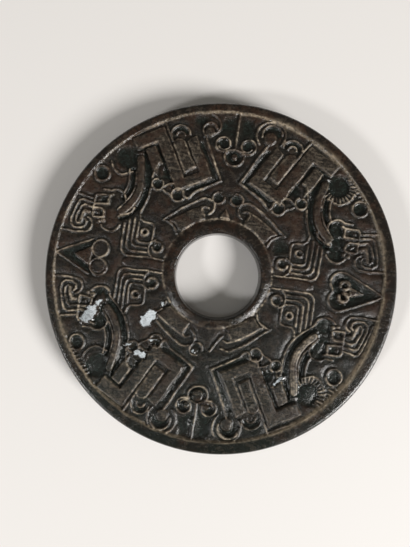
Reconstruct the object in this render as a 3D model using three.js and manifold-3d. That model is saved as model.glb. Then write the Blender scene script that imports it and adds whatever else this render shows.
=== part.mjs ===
// A bi: a flat round disc of dark jade with a round hole, a raised plain rim, a raised plain
// ring round the hole, and a band of archaistic low relief between them. It is one carved
// stone, so it is one solid. Millimetres, +Z up, origin at the centre of the underside.

import * as THREE from 'three';
import * as BufferGeometryUtils from 'three/addons/utils/BufferGeometryUtils.js';
import Module from 'manifold-3d';

const wasm = await Module();
wasm.setup();

// ---------------------------------------------------------------- driving dimensions

const DISC_DIAMETER = 130;
const THICKNESS = 9;
const HOLE_DIAMETER = 31.7;
const RING_DIAMETER = 40.6; // at its foot
const FIELD_DIAMETER = 121.4;

// The hole, the ring and the sunken field were each cut a little off the disc's centre.
const HOLE_CENTRE = new THREE.Vector2(-1.33, 0.68);
const RING_CENTRE = new THREE.Vector2(-1.65, 1.6);
const FIELD_CENTRE = new THREE.Vector2(-0.85, 0.5);

const RIM_SHOULDER = 1.5; // how far the rim's edge rounds over, across and down
const RING_BEVEL = 2.3; // how far the ring's outer shoulder slopes in from its foot
const HOLE_CHAMFER = 0.7;
const STEP_SLOPE = 0.5; // run of the sloping step from a plain band to the field

const FIELD_DEPTH = 1.0; // from the rim's top down to the field
const RAISED_DEPTH = 0.28; // from the rim's top down to a raised figure
const THREAD_DEPTH = 0.42; // from the rim's top down to a thread line
const PIT_DEPTH = 1.7; // from the rim's top down to the floor of a pit
const GROOVE_DEPTH = 2.0;

const BACK_DEPTH = 0.6; // the plain field of the underside
const BACK_RIM_INNER = 58.5; // radius where the underside's rim begins
const BACK_RING_OUTER = 22.5;

const RIM_SEGMENTS = 72;
const HOLE_SEGMENTS = 40;

// One quadrant of the relief is drawn, and mirrored in both axes. The layout is centred
// on the hole in the middle and drifts to the rim's own centre towards the edge.
const LAYOUT_CENTRE = new THREE.Vector2(-2, 1.6);
const LAYOUT_PULL = new THREE.Vector2(1.15, -1.58); // drift gained by LAYOUT_REACH
const LAYOUT_REACH = 60;
const LAYOUT_TWIST = 0.012; // sideways lean of the upright axis

// The fret is square work laid on a slant, with its own origin at the lower left corner.
const FRET_TILT = THREE.MathUtils.degToRad(61);
const FRET_CORNER = new THREE.Vector2(4.8, 34.9);
const FRET_BAND = 4.3;
const FRET_GAP = 1.1;

const MITRE_LIMIT = 0.6; // keeps a line from spiking out where it turns sharply
const CLEAR = 0.5; // how far a cutting tool stands past the face that it cuts
const ROOT = 0.6; // how far a raised figure reaches down into the ground it stands on

// ---------------------------------------------------------------- drawing helpers

const point = (u, v) => new THREE.Vector2(u, v);

/** A point of the fret: q across the slanted bands, p along them. */
function fret(q, p) {
  const cos = Math.cos(FRET_TILT);
  const sin = Math.sin(FRET_TILT);
  return point(FRET_CORNER.x + p * cos + q * sin, FRET_CORNER.y + p * sin - q * cos);
}

/** Points of an arc from one angle to another, in degrees. */
function arc(u, v, radius, from, to, stepAngle = 40) {
  const count = Math.max(2, Math.round(Math.abs(to - from) / stepAngle));
  const points = [];
  for (let i = 0; i <= count; i += 1) {
    const angle = THREE.MathUtils.degToRad(from + ((to - from) * i) / count);
    points.push(point(u + radius * Math.cos(angle), v + radius * Math.sin(angle)));
  }
  return points;
}

/** Closed outline of a round boss or pit. */
function round(u, v, radius, sides = 8) {
  return arc(u, v, radius, 0, 360 - 360 / sides, 360 / sides);
}

/** A smooth line through a few given points. */
function smooth(points, perSpan = 2) {
  return new THREE.SplineCurve(points).getPoints((points.length - 1) * perSpan);
}

/** Outline of a line of even width: out along one side and back along the other. */
function ribbon(points, width) {
  const left = [];
  const right = [];
  points.forEach((here, i) => {
    const before = points[Math.max(i - 1, 0)];
    const after = points[Math.min(i + 1, points.length - 1)];
    const into = here.clone().sub(before).normalize();
    const out = after.clone().sub(here).normalize();
    const along = into.clone().add(out).normalize();
    const mitre = Math.max(along.dot(i === 0 ? out : into), MITRE_LIMIT);
    const offset = point(-along.y, along.x).multiplyScalar(width / 2 / mitre);
    left.push(here.clone().add(offset));
    right.unshift(here.clone().sub(offset));
  });
  return [...left, ...right];
}

/** Where a quadrant point lies on the disc, once mirrored and drifted. */
function placed(source, mirrorX, mirrorY) {
  const x = source.x * mirrorX;
  const y = source.y * mirrorY;
  const pullX = LAYOUT_PULL.x * (x / LAYOUT_REACH) ** 2;
  const pullY = LAYOUT_PULL.y * (y / LAYOUT_REACH) ** 2;
  return point(x + LAYOUT_CENTRE.x + pullX + LAYOUT_TWIST * y, y + LAYOUT_CENTRE.y + pullY);
}

// ---------------------------------------------------------------- solids

/** A closed three.js mesh as a solid that can be cut and joined. */
function solidOf(geometry) {
  const bare = geometry.index ? geometry.toNonIndexed() : geometry.clone();
  bare.deleteAttribute('normal');
  bare.deleteAttribute('uv');
  const merged = BufferGeometryUtils.mergeVertices(bare, 1e-4);
  return new wasm.Manifold(new wasm.Mesh({
    numProp: 3,
    vertProperties: new Float32Array(merged.attributes.position.array),
    triVerts: new Uint32Array(merged.index.array),
  }));
}

/** A turned solid about an upright axis through the given centre. */
function turned(profile, centre, segments) {
  const geometry = new THREE.LatheGeometry(profile.map(([r, z]) => point(r, z)), segments);
  geometry.rotateX(Math.PI / 2);
  geometry.translate(centre.x, centre.y, 0);
  return solidOf(geometry);
}

/** A prism over an outline, from one height to another. */
function prism(outline, low, high) {
  const shape = new THREE.Shape(outline);
  const geometry = new THREE.ExtrudeGeometry(shape, { depth: high - low, bevelEnabled: false });
  geometry.translate(0, 0, low);
  return solidOf(geometry);
}

// Where the copies of a figure stand: one in each quadrant, or one at each end of an axis
// for a figure that is drawn whole across that axis. Each entry mirrors x and y.
const QUADRANTS = [[1, 1], [-1, 1], [-1, -1], [1, -1]];
const TOP_AND_BOTTOM = [[1, 1], [1, -1]];
const RIGHT_AND_LEFT = [[1, 1], [-1, 1]];

/** The same prism wherever its copies stand, joined. */
function repeated(outline, low, high, places) {
  return places
    .map(([mirrorX, mirrorY]) => outline.map((corner) => placed(corner, mirrorX, mirrorY)))
    .map((there) => prism(there, low, high))
    .reduce((whole, copy) => whole.add(copy));
}

// ---------------------------------------------------------------- the relief's figures

/** Flat-topped raised figures. */
function raisedFigures() {
  const inner = FRET_BAND + 1.2;
  const arm = 11.3;
  const top = 26.2;
  const meander = [
    fret(1.4, 18.6), fret(1.4, 1.4), fret(arm + FRET_BAND, 1.4),
    fret(arm + FRET_BAND, top - FRET_BAND - 0.6), fret(23.4, top - FRET_BAND - 0.6),
    fret(23.8, top), fret(arm, top), fret(arm, inner), fret(inner, inner), fret(inner, 18),
  ];
  const tongueLeft = inner + FRET_GAP;
  const tongueRight = arm - FRET_GAP + 0.2;
  const tongue = [
    fret(tongueLeft, inner + 2.2), fret(tongueRight, inner + 1.8), fret(tongueRight, 18.6),
    fret((tongueLeft + tongueRight) / 2, 20), fret(tongueLeft, 18.4),
  ];
  const block = [
    fret(17.1, 14), fret(17.1, 20.5), fret(21, 20.3), fret(21.2, 13.5),
    fret(20.6, 9.5), fret(19.5, 12),
  ];
  const crescent = ribbon(smooth([
    point(34.2, 40.5), point(33.3, 35), point(33.3, 29.5), point(34.8, 24.5), point(39.4, 17.4),
  ], 1), 3.2);
  const brow = [
    point(8.8, 24.1), point(12, 22.6), point(16, 20), point(19.4, 17.5), point(18, 16.2),
    point(16.4, 14.2), point(14.6, 13.4), point(10.5, 17), point(7, 18.8),
  ];
  return [meander, tongue, block, crescent, brow, round(12, 53.2, 2.1)];
}

/** Flat-topped figures that stand across an axis: [outline, places]. */
function raisedOnAxis() {
  const band = [
    point(19, -1.7), point(33.5, -1.7), point(35.8, -0.8), point(35.8, 0.8),
    point(33.5, 1.7), point(19, 1.7),
  ];
  const heartWedge = [point(48.9, -1.8), point(54, 0), point(48.9, 1.8)];
  return [
    [round(0, 44.7, 1.7), TOP_AND_BOTTOM], [band, RIGHT_AND_LEFT], [heartWedge, RIGHT_AND_LEFT],
  ];
}

/** Narrow raised lines that edge and link the figures: [points, width]. */
function threadLines() {
  const nested = [];
  for (const [step, end] of [[0.9, 26.7], [3.5, 20.6]]) {
    const u = 33.2 + step;
    const v = 5.9 - step;
    nested.push([[point(u, 17 - step), point(u, v + 2.2), point(u - 2.2, v), point(end, v)], 0.7]);
  }
  return [
    ...nested,
    [arc(4.6, 48.9, 2.8, -128, 200, 47), 0.8],
    [[...arc(12.2, 54.4, 5.3, 222, 0, 37), point(16.3, 51.2)], 0.8],
    [[point(11.9, 51.4), fret(-1.1, -0.6), fret(10, -1.2), point(14, 27.2)], 1],
    [arc(20.7, 50.4, 3.6, 165, -25, 47), 0.7],
    [[point(28.2, 55.8), fret(10.1, 18)], 0.8],
    [arc(26.8, 30.4, 2.2, 120, 420, 60), 0.8],
    [arc(18.7, 27.3, 2.4, 100, -150, 62), 0.8],
    [smooth([point(29.2, 28.2), point(29.6, 24.8), point(30.7, 21), point(31.4, 17.4)], 1), 0.8],
    [[point(31.4, 17.4), point(30, 15.6), point(26.2, 15.2), point(25.7, 8.2),
      point(31, 7.8), point(31.5, 14.6)], 0.7],
    [arc(28.8, 11.7, 1.7, 0, 300, 60), 0.8],
    [arc(23.3, 6.7, 2.1, 100, 400, 60), 0.9],
    [[point(37.6, 34.6), point(37.2, 30), point(38.4, 24.4)], 0.7],
    [arc(48, 31.4, 2.8, 60, 390, 47), 0.8],
    [[...arc(41.2, 22.6, 3.6, 190, 50, 47), point(46.5, 25.6)], 0.7],
    [[point(43, 23.8), point(48.6, 24.2), point(49.5, 23), point(49.5, 14.8)], 0.7],
    [[point(49.6, 21.8), point(55.4, 22.5), point(57.8, 16), point(58.9, 11.2)], 0.7],
    [[point(49.6, 20.3), point(54.8, 20.6), point(57.2, 13.4), point(55.8, 10.2),
      point(52.6, 10.2), point(51.4, 12.2)], 0.7],
    [[point(51.4, 16.6), point(52.9, 16.8), point(53.7, 12.6)], 1],
    [[...arc(51.9, 11.6, 2.8, 105, 235, 65), point(62, 8.9)], 0.8],
    [arc(46.5, 2.4, 1.8, 190, -50, 60), 0.9],
    [arc(3.3, 28.2, 2.3, 100, -200, 60), 0.8],
    [[point(5.6, 27), point(8.4, 27.6), point(15.4, 23.4), point(22.4, 17.4)], 0.8],
    [[point(22.4, 17.4), point(18.6, 15.6), point(17, 12.4)], 0.8],
  ];
}

/** Lines that stand across an axis: [points, width, places]. */
function threadsOnAxis() {
  const lobe = arc(0, 44.7, 3.7, 200, 340, 35);
  const upperHeart = [...arc(45.7, 3.6, 3.8, 205, 65, 35), point(62.5, -0.8)];
  const lowerHeart = upperHeart.map((corner) => point(corner.x, -corner.y));
  return [
    [[point(0, 62.5), point(0, 46.6)], 0.8, TOP_AND_BOTTOM],
    [[point(-3.3, 46), point(0, 47.4), point(3.3, 46)], 0.8, TOP_AND_BOTTOM],
    [lobe, 0.8, TOP_AND_BOTTOM],
    [[point(-2.4, 20.2), point(0, 24.3), point(2.4, 20.2)], 0.9, TOP_AND_BOTTOM],
    [[point(42.9, -1), ...upperHeart], 0.8, RIGHT_AND_LEFT],
    [[point(42.9, 1), ...lowerHeart], 0.8, RIGHT_AND_LEFT],
  ];
}

/** Outlines sunk below the field as pits. */
function pits() {
  const besideStem = [
    point(0.9, 59.6), point(5.3, 59.3), point(6, 57), point(6.2, 53),
    ...arc(4.6, 48.9, 3.7, 70, 150, 40), point(0.9, 50),
  ];
  const underHook = [...arc(12.6, 54.8, 4, 185, -5, 48), ...arc(12, 53.2, 2.6, 0, 180, 60)];
  const cap = [...arc(20.7, 50.4, 2.9, 165, -15, 60), ...arc(20.6, 50, 1.5, 10, 165, 75)];
  const heart = [
    point(43.6, 0.6), ...arc(45.7, 3.6, 3.1, 200, 65, 34), point(58.4, 0.6),
    point(54.4, 0.5), point(49.2, 2.4), point(48.6, 0.6),
  ];
  const besideEye = [
    point(18.8, 11.6), point(19.8, 14.8), point(22.6, 15.7), point(24.4, 14.6),
    point(24.4, 11), point(20.4, 9.6),
  ];
  return [
    besideStem, underHook, cap, heart, besideEye,
    round(4.8, 48.7, 2), round(23.6, 34.6, 2.6), round(48, 31.4, 2), round(39.4, 38.8, 4.4, 10),
    round(3.3, 28.2, 1.6, 6),
    round(41.3, 22.3, 2.8), round(42.1, 14.4, 3.3),
    [point(40.4, 21), point(44, 21), point(44.4, 16), point(40.2, 16)],
    [fret(7.4, 9), fret(9.2, 8.9), fret(9.2, 16.5), fret(7.4, 16.5)],
  ];
}

/** Deep cuts that set off the crescent: [points, width]. */
function grooves() {
  const outer = smooth([
    point(32.6, 41), point(30.8, 34), point(31.2, 27), point(33.6, 21), point(38, 15.9),
  ], 1);
  const inner = smooth([point(36.3, 35.2), point(36, 31), point(36.6, 27), point(38.2, 23.8)], 1);
  return [[outer, 1.5], [inner, 1.3]];
}

// ---------------------------------------------------------------- the disc

/** The sawn and ground blank, with a rounded rim, before any carving. */
function blank() {
  const radius = DISC_DIAMETER / 2;
  const soft = RIM_SHOULDER;
  return turned([
    [0, 0], [radius - soft, 0], [radius - 0.3 * soft, 0.3 * soft], [radius, soft],
    [radius, THICKNESS - soft], [radius - 0.3 * soft, THICKNESS - 0.3 * soft],
    [radius - soft, THICKNESS], [0, THICKNESS],
  ], point(0, 0), RIM_SEGMENTS);
}

/** A flat cutter or plug with a sloping side, wider by slope at its top. */
function tapered(diameter, low, high, slope, centre, segments) {
  const radius = diameter / 2;
  return turned([[0, low], [radius - slope, low], [radius, high], [0, high]], centre, segments);
}

/** What is ground away on the front between the ring and the rim. */
function frontField() {
  const low = THICKNESS - FIELD_DEPTH;
  const high = THICKNESS + CLEAR;
  const slope = STEP_SLOPE * (high - low);
  const cut = tapered(FIELD_DIAMETER + STEP_SLOPE, low, high, slope, FIELD_CENTRE, RIM_SEGMENTS);
  const foot = RING_DIAMETER / 2;
  const shoulder = foot - RING_BEVEL;
  const ring = turned([
    [0, low - CLEAR], [foot, low - CLEAR], [foot, low], [shoulder, THICKNESS],
    [shoulder, high + CLEAR], [0, high + CLEAR],
  ], RING_CENTRE, HOLE_SEGMENTS);
  return cut.subtract(ring);
}

/** The shallow plain field of the underside. */
function backField() {
  const sides = RIM_SEGMENTS / 2;
  const slope = STEP_SLOPE * (BACK_DEPTH + CLEAR);
  const cut = tapered(2 * BACK_RIM_INNER, -CLEAR, BACK_DEPTH, -slope, FIELD_CENTRE, sides);
  const ring = tapered(
    2 * BACK_RING_OUTER, -2 * CLEAR, BACK_DEPTH + CLEAR, slope, RING_CENTRE, sides,
  );
  return cut.subtract(ring);
}

/** The drilled hole, eased at both faces. */
function hole() {
  const radius = HOLE_DIAMETER / 2;
  const wide = radius + HOLE_CHAMFER;
  return turned([
    [0, -CLEAR], [wide + CLEAR, -CLEAR], [wide, 0], [radius, HOLE_CHAMFER],
    [radius, THICKNESS - HOLE_CHAMFER], [wide, THICKNESS], [wide + CLEAR, THICKNESS + CLEAR],
    [0, THICKNESS + CLEAR],
  ], HOLE_CENTRE, HOLE_SEGMENTS);
}

/** The whole carving as one solid. */
function carvedDisc() {
  let disc = blank().subtract(frontField()).subtract(backField());
  const root = THICKNESS - FIELD_DEPTH - ROOT;
  const above = THICKNESS + CLEAR;
  const raisedTop = THICKNESS - RAISED_DEPTH;
  const threadTop = THICKNESS - THREAD_DEPTH;
  for (const outline of raisedFigures()) {
    disc = disc.add(repeated(outline, root, raisedTop, QUADRANTS));
  }
  for (const [outline, places] of raisedOnAxis()) {
    disc = disc.add(repeated(outline, root, raisedTop, places));
  }
  for (const [points, width] of threadLines()) {
    disc = disc.add(repeated(ribbon(points, width), root, threadTop, QUADRANTS));
  }
  for (const [points, width, places] of threadsOnAxis()) {
    disc = disc.add(repeated(ribbon(points, width), root, threadTop, places));
  }
  for (const outline of pits()) {
    disc = disc.subtract(repeated(outline, THICKNESS - PIT_DEPTH, above, QUADRANTS));
  }
  for (const [points, width] of grooves()) {
    const cut = repeated(ribbon(points, width), THICKNESS - GROOVE_DEPTH, above, QUADRANTS);
    disc = disc.subtract(cut);
  }
  return disc.subtract(hole());
}

/** A solid back as a three.js geometry. */
function geometryOf(solid) {
  const mesh = solid.getMesh();
  const geometry = new THREE.BufferGeometry();
  geometry.setAttribute('position', new THREE.BufferAttribute(mesh.vertProperties, 3));
  geometry.setIndex(new THREE.BufferAttribute(mesh.triVerts, 1));
  geometry.computeVertexNormals();
  return geometry;
}

const jade = new THREE.MeshStandardMaterial({ color: 0x3c3832, roughness: 0.38, metalness: 0 });

const disc = new THREE.Mesh(geometryOf(carvedDisc()), jade);
disc.name = 'bi_disc';

const bi = new THREE.Group();
bi.add(disc);

export default bi;
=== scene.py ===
"""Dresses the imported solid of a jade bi: a finely carved face, a plainer back, and a studio.

The disc is one stone, so one dressed mesh takes the place of the one solid. The carved face is
a height field. Its figures are drawn for one quadrant, in millimetres, and every point of the
disc is folded back into that quadrant to find how deep the carver cut there.
"""

import logging
import math
from collections.abc import Callable
from dataclasses import dataclass, field, replace
from enum import Enum

import bpy
import numpy as np
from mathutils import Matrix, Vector
from mathutils.geometry import delaunay_2d_cdt


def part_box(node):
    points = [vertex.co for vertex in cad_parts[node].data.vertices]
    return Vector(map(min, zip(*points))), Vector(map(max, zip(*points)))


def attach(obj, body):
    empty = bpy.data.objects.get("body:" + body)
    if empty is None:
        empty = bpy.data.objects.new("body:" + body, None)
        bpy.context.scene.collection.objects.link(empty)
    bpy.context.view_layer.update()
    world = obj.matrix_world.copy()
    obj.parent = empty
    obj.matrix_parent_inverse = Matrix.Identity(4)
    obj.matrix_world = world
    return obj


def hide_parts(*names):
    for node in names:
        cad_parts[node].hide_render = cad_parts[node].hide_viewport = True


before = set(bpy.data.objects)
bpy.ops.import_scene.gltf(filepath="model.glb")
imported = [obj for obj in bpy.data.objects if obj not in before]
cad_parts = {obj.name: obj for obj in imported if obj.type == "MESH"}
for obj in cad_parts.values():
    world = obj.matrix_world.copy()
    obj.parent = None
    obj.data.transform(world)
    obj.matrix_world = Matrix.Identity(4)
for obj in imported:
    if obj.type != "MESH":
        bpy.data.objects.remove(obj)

Point = tuple[float, float]
Path = list[Point]
Array = np.ndarray
Colour = tuple[float, float, float]

MM = 0.001
NODE = "bi_disc"
BODY = "root"
PIECE = "carved_bi"

ARC_STEP = 15  # degrees between two points of an arc
TINY = 1e-9  # keeps a division from failing
FAR = 9.0  # a distance beyond the reach of every figure
UNCUT = 99.0  # stands for the depth of a figure where there is none

logging.basicConfig(level=logging.INFO, format="%(levelname)s %(message)s")
log = logging.getLogger("jade_bi")


# --- drawing helpers


def polar(centre: Point, reach: float, angle: float) -> Point:
    """The point at a distance and an angle, in degrees, from a centre."""
    turn = math.radians(angle)
    return centre[0] + reach * math.cos(turn), centre[1] + reach * math.sin(turn)


def arc(centre: Point, radius: float, start: float, end: float,
        end_radius: float | None = None) -> Path:
    """Points along an arc, or along a spiral that closes in.

    Args:
        centre: Middle of the arc.
        radius: Radius at the start.
        start: First angle, in degrees.
        end: Last angle, in degrees.
        end_radius: Radius at the end, the same as at the start if left out.

    Returns:
        The points, about one for each step of an arc.
    """
    last = radius if end_radius is None else end_radius
    count = max(4, round(abs(end - start) / ARC_STEP))
    shares = [step / count for step in range(count + 1)]
    return [polar(centre, radius + (last - radius) * share, start + (end - start) * share)
            for share in shares]


def circle(centre: Point, radius: float) -> Path:
    """Closed outline of a round boss or pit."""
    return arc(centre, radius, 0, 360 - ARC_STEP)


def curve(*knots: Point, spans: int = 4) -> Path:
    """A smooth line through a few knots.

    Args:
        knots: The points that the line runs through.
        spans: How many pieces each stretch between two knots is split into.

    Returns:
        Points along the line.
    """
    ends = [knots[0], *knots, knots[-1]]
    points = [knots[0]]
    for a, b, c, d in zip(ends, ends[1:], ends[2:], ends[3:]):
        for step in range(1, spans + 1):
            t = step / spans
            points.append(tuple(
                0.5 * (2 * b[k] + (c[k] - a[k]) * t + (2 * a[k] - 5 * b[k] + 4 * c[k] - d[k]) * t**2
                       + (3 * b[k] - a[k] - 3 * c[k] + d[k]) * t**3)
                for k in (0, 1)))
    return points


def ease(value: Array, low: float, high: float) -> Array:
    """Smooth step: 0 at or below low, 1 at or above high."""
    share = np.clip((value - low) / (high - low), 0.0, 1.0)
    return share * share * (3.0 - 2.0 * share)


# --- how the carver cut


class Cut(Enum):
    """The ways that the stone was cut."""

    THREAD = "thread"
    TOOTH = "tooth"
    RAISED = "raised"
    LEDGE = "ledge"
    PIT = "pit"
    GROOVE = "groove"


class Quarter(Enum):
    """The four quarters of the disc, each with the signs of its X and Y."""

    UPPER_LEFT = (-1, 1)
    UPPER_RIGHT = (1, 1)
    LOWER_LEFT = (-1, -1)
    LOWER_RIGHT = (1, -1)


Quarters = tuple[Quarter, ...]
UPPER: Quarters = (Quarter.UPPER_LEFT, Quarter.UPPER_RIGHT)
LOWER: Quarters = (Quarter.LOWER_LEFT, Quarter.LOWER_RIGHT)
LEFT: Quarters = (Quarter.UPPER_LEFT, Quarter.LOWER_LEFT)
RIGHT: Quarters = (Quarter.UPPER_RIGHT, Quarter.LOWER_RIGHT)
LOWER_LEFT: Quarters = (Quarter.LOWER_LEFT,)
LOWER_RIGHT: Quarters = (Quarter.LOWER_RIGHT,)
BUT_UPPER_LEFT: Quarters = (*RIGHT, Quarter.LOWER_LEFT)
BUT_LOWER_RIGHT: Quarters = (*LEFT, Quarter.UPPER_RIGHT)
ALL: Quarters = tuple(Quarter)


@dataclass(frozen=True)
class Profile:
    """The section of a cut, in millimetres.

    Args:
        depth: Depth of its top or floor below the rim's top.
        wall: Width of its sloping wall.
        pale: How much buff deposit its edges hold, from 0 to 1.
        polish: How glossy it is left, from 0 to 1.
    """

    depth: float
    wall: float
    pale: float
    polish: float


PROFILES: dict[Cut, Profile] = {
    Cut.THREAD: Profile(depth=0.40, wall=0.36, pale=1.0, polish=0.1),
    Cut.TOOTH: Profile(depth=0.55, wall=0.28, pale=0.85, polish=0.1),
    Cut.RAISED: Profile(depth=0.26, wall=0.46, pale=0.55, polish=0.25),
    Cut.LEDGE: Profile(depth=0.74, wall=0.50, pale=0.0, polish=0.1),
    Cut.PIT: Profile(depth=1.85, wall=1.9, pale=0.0, polish=0.5),
    Cut.GROOVE: Profile(depth=2.0, wall=0.7, pale=0.0, polish=0.4),
}


FINE_LINE = 0.8  # the deposit on a line narrower than this is no narrower than on this one
BROAD_LINE = 1.6  # a line broader than this holds its deposit along its edges, as an area does
EDGE_DUST = -0.12  # where the deposit of an area lies, from its edge
DUST_SPREAD = 0.21  # how far it spreads there
LINE_SPREAD = 0.31  # how far it spreads on a line, in line widths


@dataclass(frozen=True)
class Figure:
    """One cut: a line of even width, or the outline of an area.

    Args:
        cut: How it was cut.
        path: Points of the line or of the closed outline.
        width: Width of the line, or 0 for an outline.
        pale: Deposit on its edges, or None for the cut's own.
        quarters: The quarters that it was cut in.
    """

    cut: Cut
    path: Path
    width: float = 0.0
    pale: float | None = None
    quarters: Quarters = ALL

    @property
    def profile(self) -> Profile:
        """Section of this figure's cut."""
        return PROFILES[self.cut]

    @property
    def sinks(self) -> bool:
        """Whether it goes below the ground."""
        return self.cut in (Cut.PIT, Cut.GROOVE)

    @property
    def creases(self) -> tuple[float, ...]:
        """How far from its edge the surface bends sharply."""
        half = self.profile.wall / 2
        return (0.0,) if self.sinks else (-half, half)

    def near(self, u: Array, v: Array, margin: float) -> Array:
        """Indices of the points that lie within a margin of this figure's box.

        Args:
            u: Points' places across.
            v: Points' places up.
            margin: How far outside the box they may lie.

        Returns:
            The indices.
        """
        along = np.array(self.path)
        low = along.min(0) - margin
        high = along.max(0) + margin
        return np.flatnonzero((u > low[0]) & (u < high[0]) & (v > low[1]) & (v < high[1]))

    def cut_here(self, sign_x: Array, sign_y: Array) -> Array:
        """Whether points with these signs lie in a quarter where it was cut.

        Args:
            sign_x: Signs of the points' places across the disc.
            sign_y: Signs of their places up the disc.

        Returns:
            True where it was cut.
        """
        here = np.full(sign_x.shape, self.quarters == ALL)
        for quarter in self.quarters:
            here |= (sign_x * quarter.value[0] > 0) & (sign_y * quarter.value[1] > 0)
        return here

    def dust(self, offset: Array) -> Array:
        """Buff deposit that the figure holds at some points.

        Args:
            offset: Their signed distances from its edge.

        Returns:
            The deposit, from 0 to 1.
        """
        is_line = 0.0 < self.width < BROAD_LINE
        spine = -self.width / 2 if is_line else EDGE_DUST
        even = self.width < FINE_LINE or self.width > BROAD_LINE
        spread = DUST_SPREAD if even else LINE_SPREAD * self.width
        most = self.profile.pale if self.pale is None else self.pale
        return most * np.exp(-(((offset - spine) / spread) ** 2))

    def distance(self, u: Array, v: Array) -> tuple[Array, Array, Array]:
        """Signed distance from the figure's edge, negative inside it.

        Args:
            u: Points' places across.
            v: Points' places up.

        Returns:
            The distance, and the two parts of the unit direction in which it grows.
        """
        ends = np.array(self.path if self.width else [*self.path, self.path[0]], float)
        best = np.full(u.shape, np.inf)
        away_u = np.zeros(u.shape)
        away_v = np.zeros(u.shape)
        inside = np.zeros(u.shape, bool)
        for (u0, v0), (u1, v1) in zip(ends[:-1], ends[1:]):
            run_u = u1 - u0
            run_v = v1 - v0
            length = max(run_u * run_u + run_v * run_v, TINY)
            share = np.clip(((u - u0) * run_u + (v - v0) * run_v) / length, 0.0, 1.0)
            off_u = u - u0 - share * run_u
            off_v = v - v0 - share * run_v
            gap = off_u * off_u + off_v * off_v
            closer = gap < best
            best = np.where(closer, gap, best)
            away_u = np.where(closer, off_u, away_u)
            away_v = np.where(closer, off_v, away_v)
            if not self.width and v0 != v1:
                crosses = (v0 > v) != (v1 > v)
                inside ^= crosses & (u < u0 + (v - v0) * run_u / run_v)
        reach = np.sqrt(best)
        away_u = away_u / np.maximum(reach, TINY)
        away_v = away_v / np.maximum(reach, TINY)
        if self.width:
            return reach - self.width / 2, away_u, away_v
        side = np.where(inside, -1.0, 1.0)
        return reach * side, away_u * side, away_v * side


def thread(path: Path, width: float = 0.52, pale: float | None = None) -> Figure:
    """A narrow raised line."""
    return Figure(Cut.THREAD, path, width, pale)


def line(width: float, *knots: Point) -> Figure:
    """A narrow raised line that runs smoothly through its knots."""
    return thread(curve(*knots), width)


def raised(path: Path, pale: float | None = None) -> Figure:
    """A flat-topped figure that stands up from the ground."""
    return Figure(Cut.RAISED, path, 0.0, pale)


def pit(path: Path) -> Figure:
    """A hollow below the ground."""
    return Figure(Cut.PIT, path)


def groove(path: Path, width: float) -> Figure:
    """A deep channel along a line."""
    return Figure(Cut.GROOVE, path, width)


def only(quarters: Quarters, *figures: Figure) -> list[Figure]:
    """Figures that were cut in some quarters and not in the others."""
    return [replace(figure, quarters=quarters) for figure in figures]


# --- the figures


@dataclass(frozen=True)
class Trefoil:
    """Three curls on a stem, which stand under the rim on the upright axis."""

    curl: Point = (4.6, 48.9)
    lobe: Point = (0.0, 44.7)
    lobe_radius: float = 3.7
    stem_foot: Point = (0.0, 47.3)
    rim: float = 62.0

    def figures(self) -> list[Figure]:
        """The stem, the side curl, the lobe below them, and their hollows.

        Returns:
            The figures, as drawn in the one quadrant.
        """
        beside_stem = [
            (1.0, 59.9), (5.4, 59.7), (6.0, 57.5), (6.2, 54.5), (6.6, 52.6),
            *arc(self.curl, 3.7, 60, 165), (1.0, 49.4),
        ]
        lobe_pit = [(0.0, 46.6), (2.2, 45.8), *arc(self.lobe, 3.1, 12, -192), (-2.2, 45.8)]
        return [
            pit(beside_stem), pit(circle(self.curl, 2.2)), pit(lobe_pit),
            thread([(0.0, self.rim), self.stem_foot], 0.7),
            thread([self.stem_foot, *arc(self.curl, 3.0, -128, 215, 2.5)], 0.65),
            thread(arc(self.curl, 2.4, 225, 330, 1.7), 0.6),
            thread([(2.9, 45.9), *arc(self.lobe, self.lobe_radius, 12, -90)], 0.7),
            *only(UPPER, raised(circle((0.0, 44.4), 1.1), 0.25)),
            *only(LOWER, raised(circle((0.0, 44.4), 2.1), 0.1),
                  raised(circle((3.6, 48.4), 1.1), 0.2)),
        ]


@dataclass(frozen=True)
class RimHook:
    """The hooked scroll that hangs from the rim beside the trefoil."""

    centre: Point = (12.2, 54.4)
    knob: Point = (12.0, 53.2)

    def figures(self) -> list[Figure]:
        """The outer and inner lines, the knob and the hollow round it.

        Returns:
            The figures, as drawn in the one quadrant.
        """
        inner = (12.6, 54.8)
        right_hook = only(
            BUT_UPPER_LEFT,
            pit([*arc(inner, 3.4, 190, -5), *arc(self.knob, 2.6, 10, 170)]),
            thread([*arc(self.centre, 5.3, 222, 0), (17.3, 52.8), (16.3, 51.2)], 0.7),
            thread(arc(inner, 3.7, 195, 5), 0.55), raised(circle(self.knob, 2.3), 0.2))
        left_hook = only(
            (Quarter.UPPER_LEFT,),
            pit([(9.4, 59.0), (13.0, 59.4), (16.8, 57.8), (16.8, 54.6), (13.2, 54.8),
                 (11.0, 57.6)]),
            line(0.75, (9.4, 52.0), (7.4, 53.2), (6.4, 55.2), (7.0, 57.6), (8.8, 59.4),
                 (10.6, 60.2)),
            line(0.8, (7.6, 54.4), (9.0, 56.2), (11.0, 56.4), (12.6, 55.0), (13.0, 53.2),
                 (12.0, 50.8)),
            raised(circle((10.2, 52.7), 1.9), 0.2))
        broad_arc = only(LOWER_RIGHT, thread(arc((12.9, 53.9), 4.2, 165, 0), 1.15))
        return right_hook + left_hook + broad_arc


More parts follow.
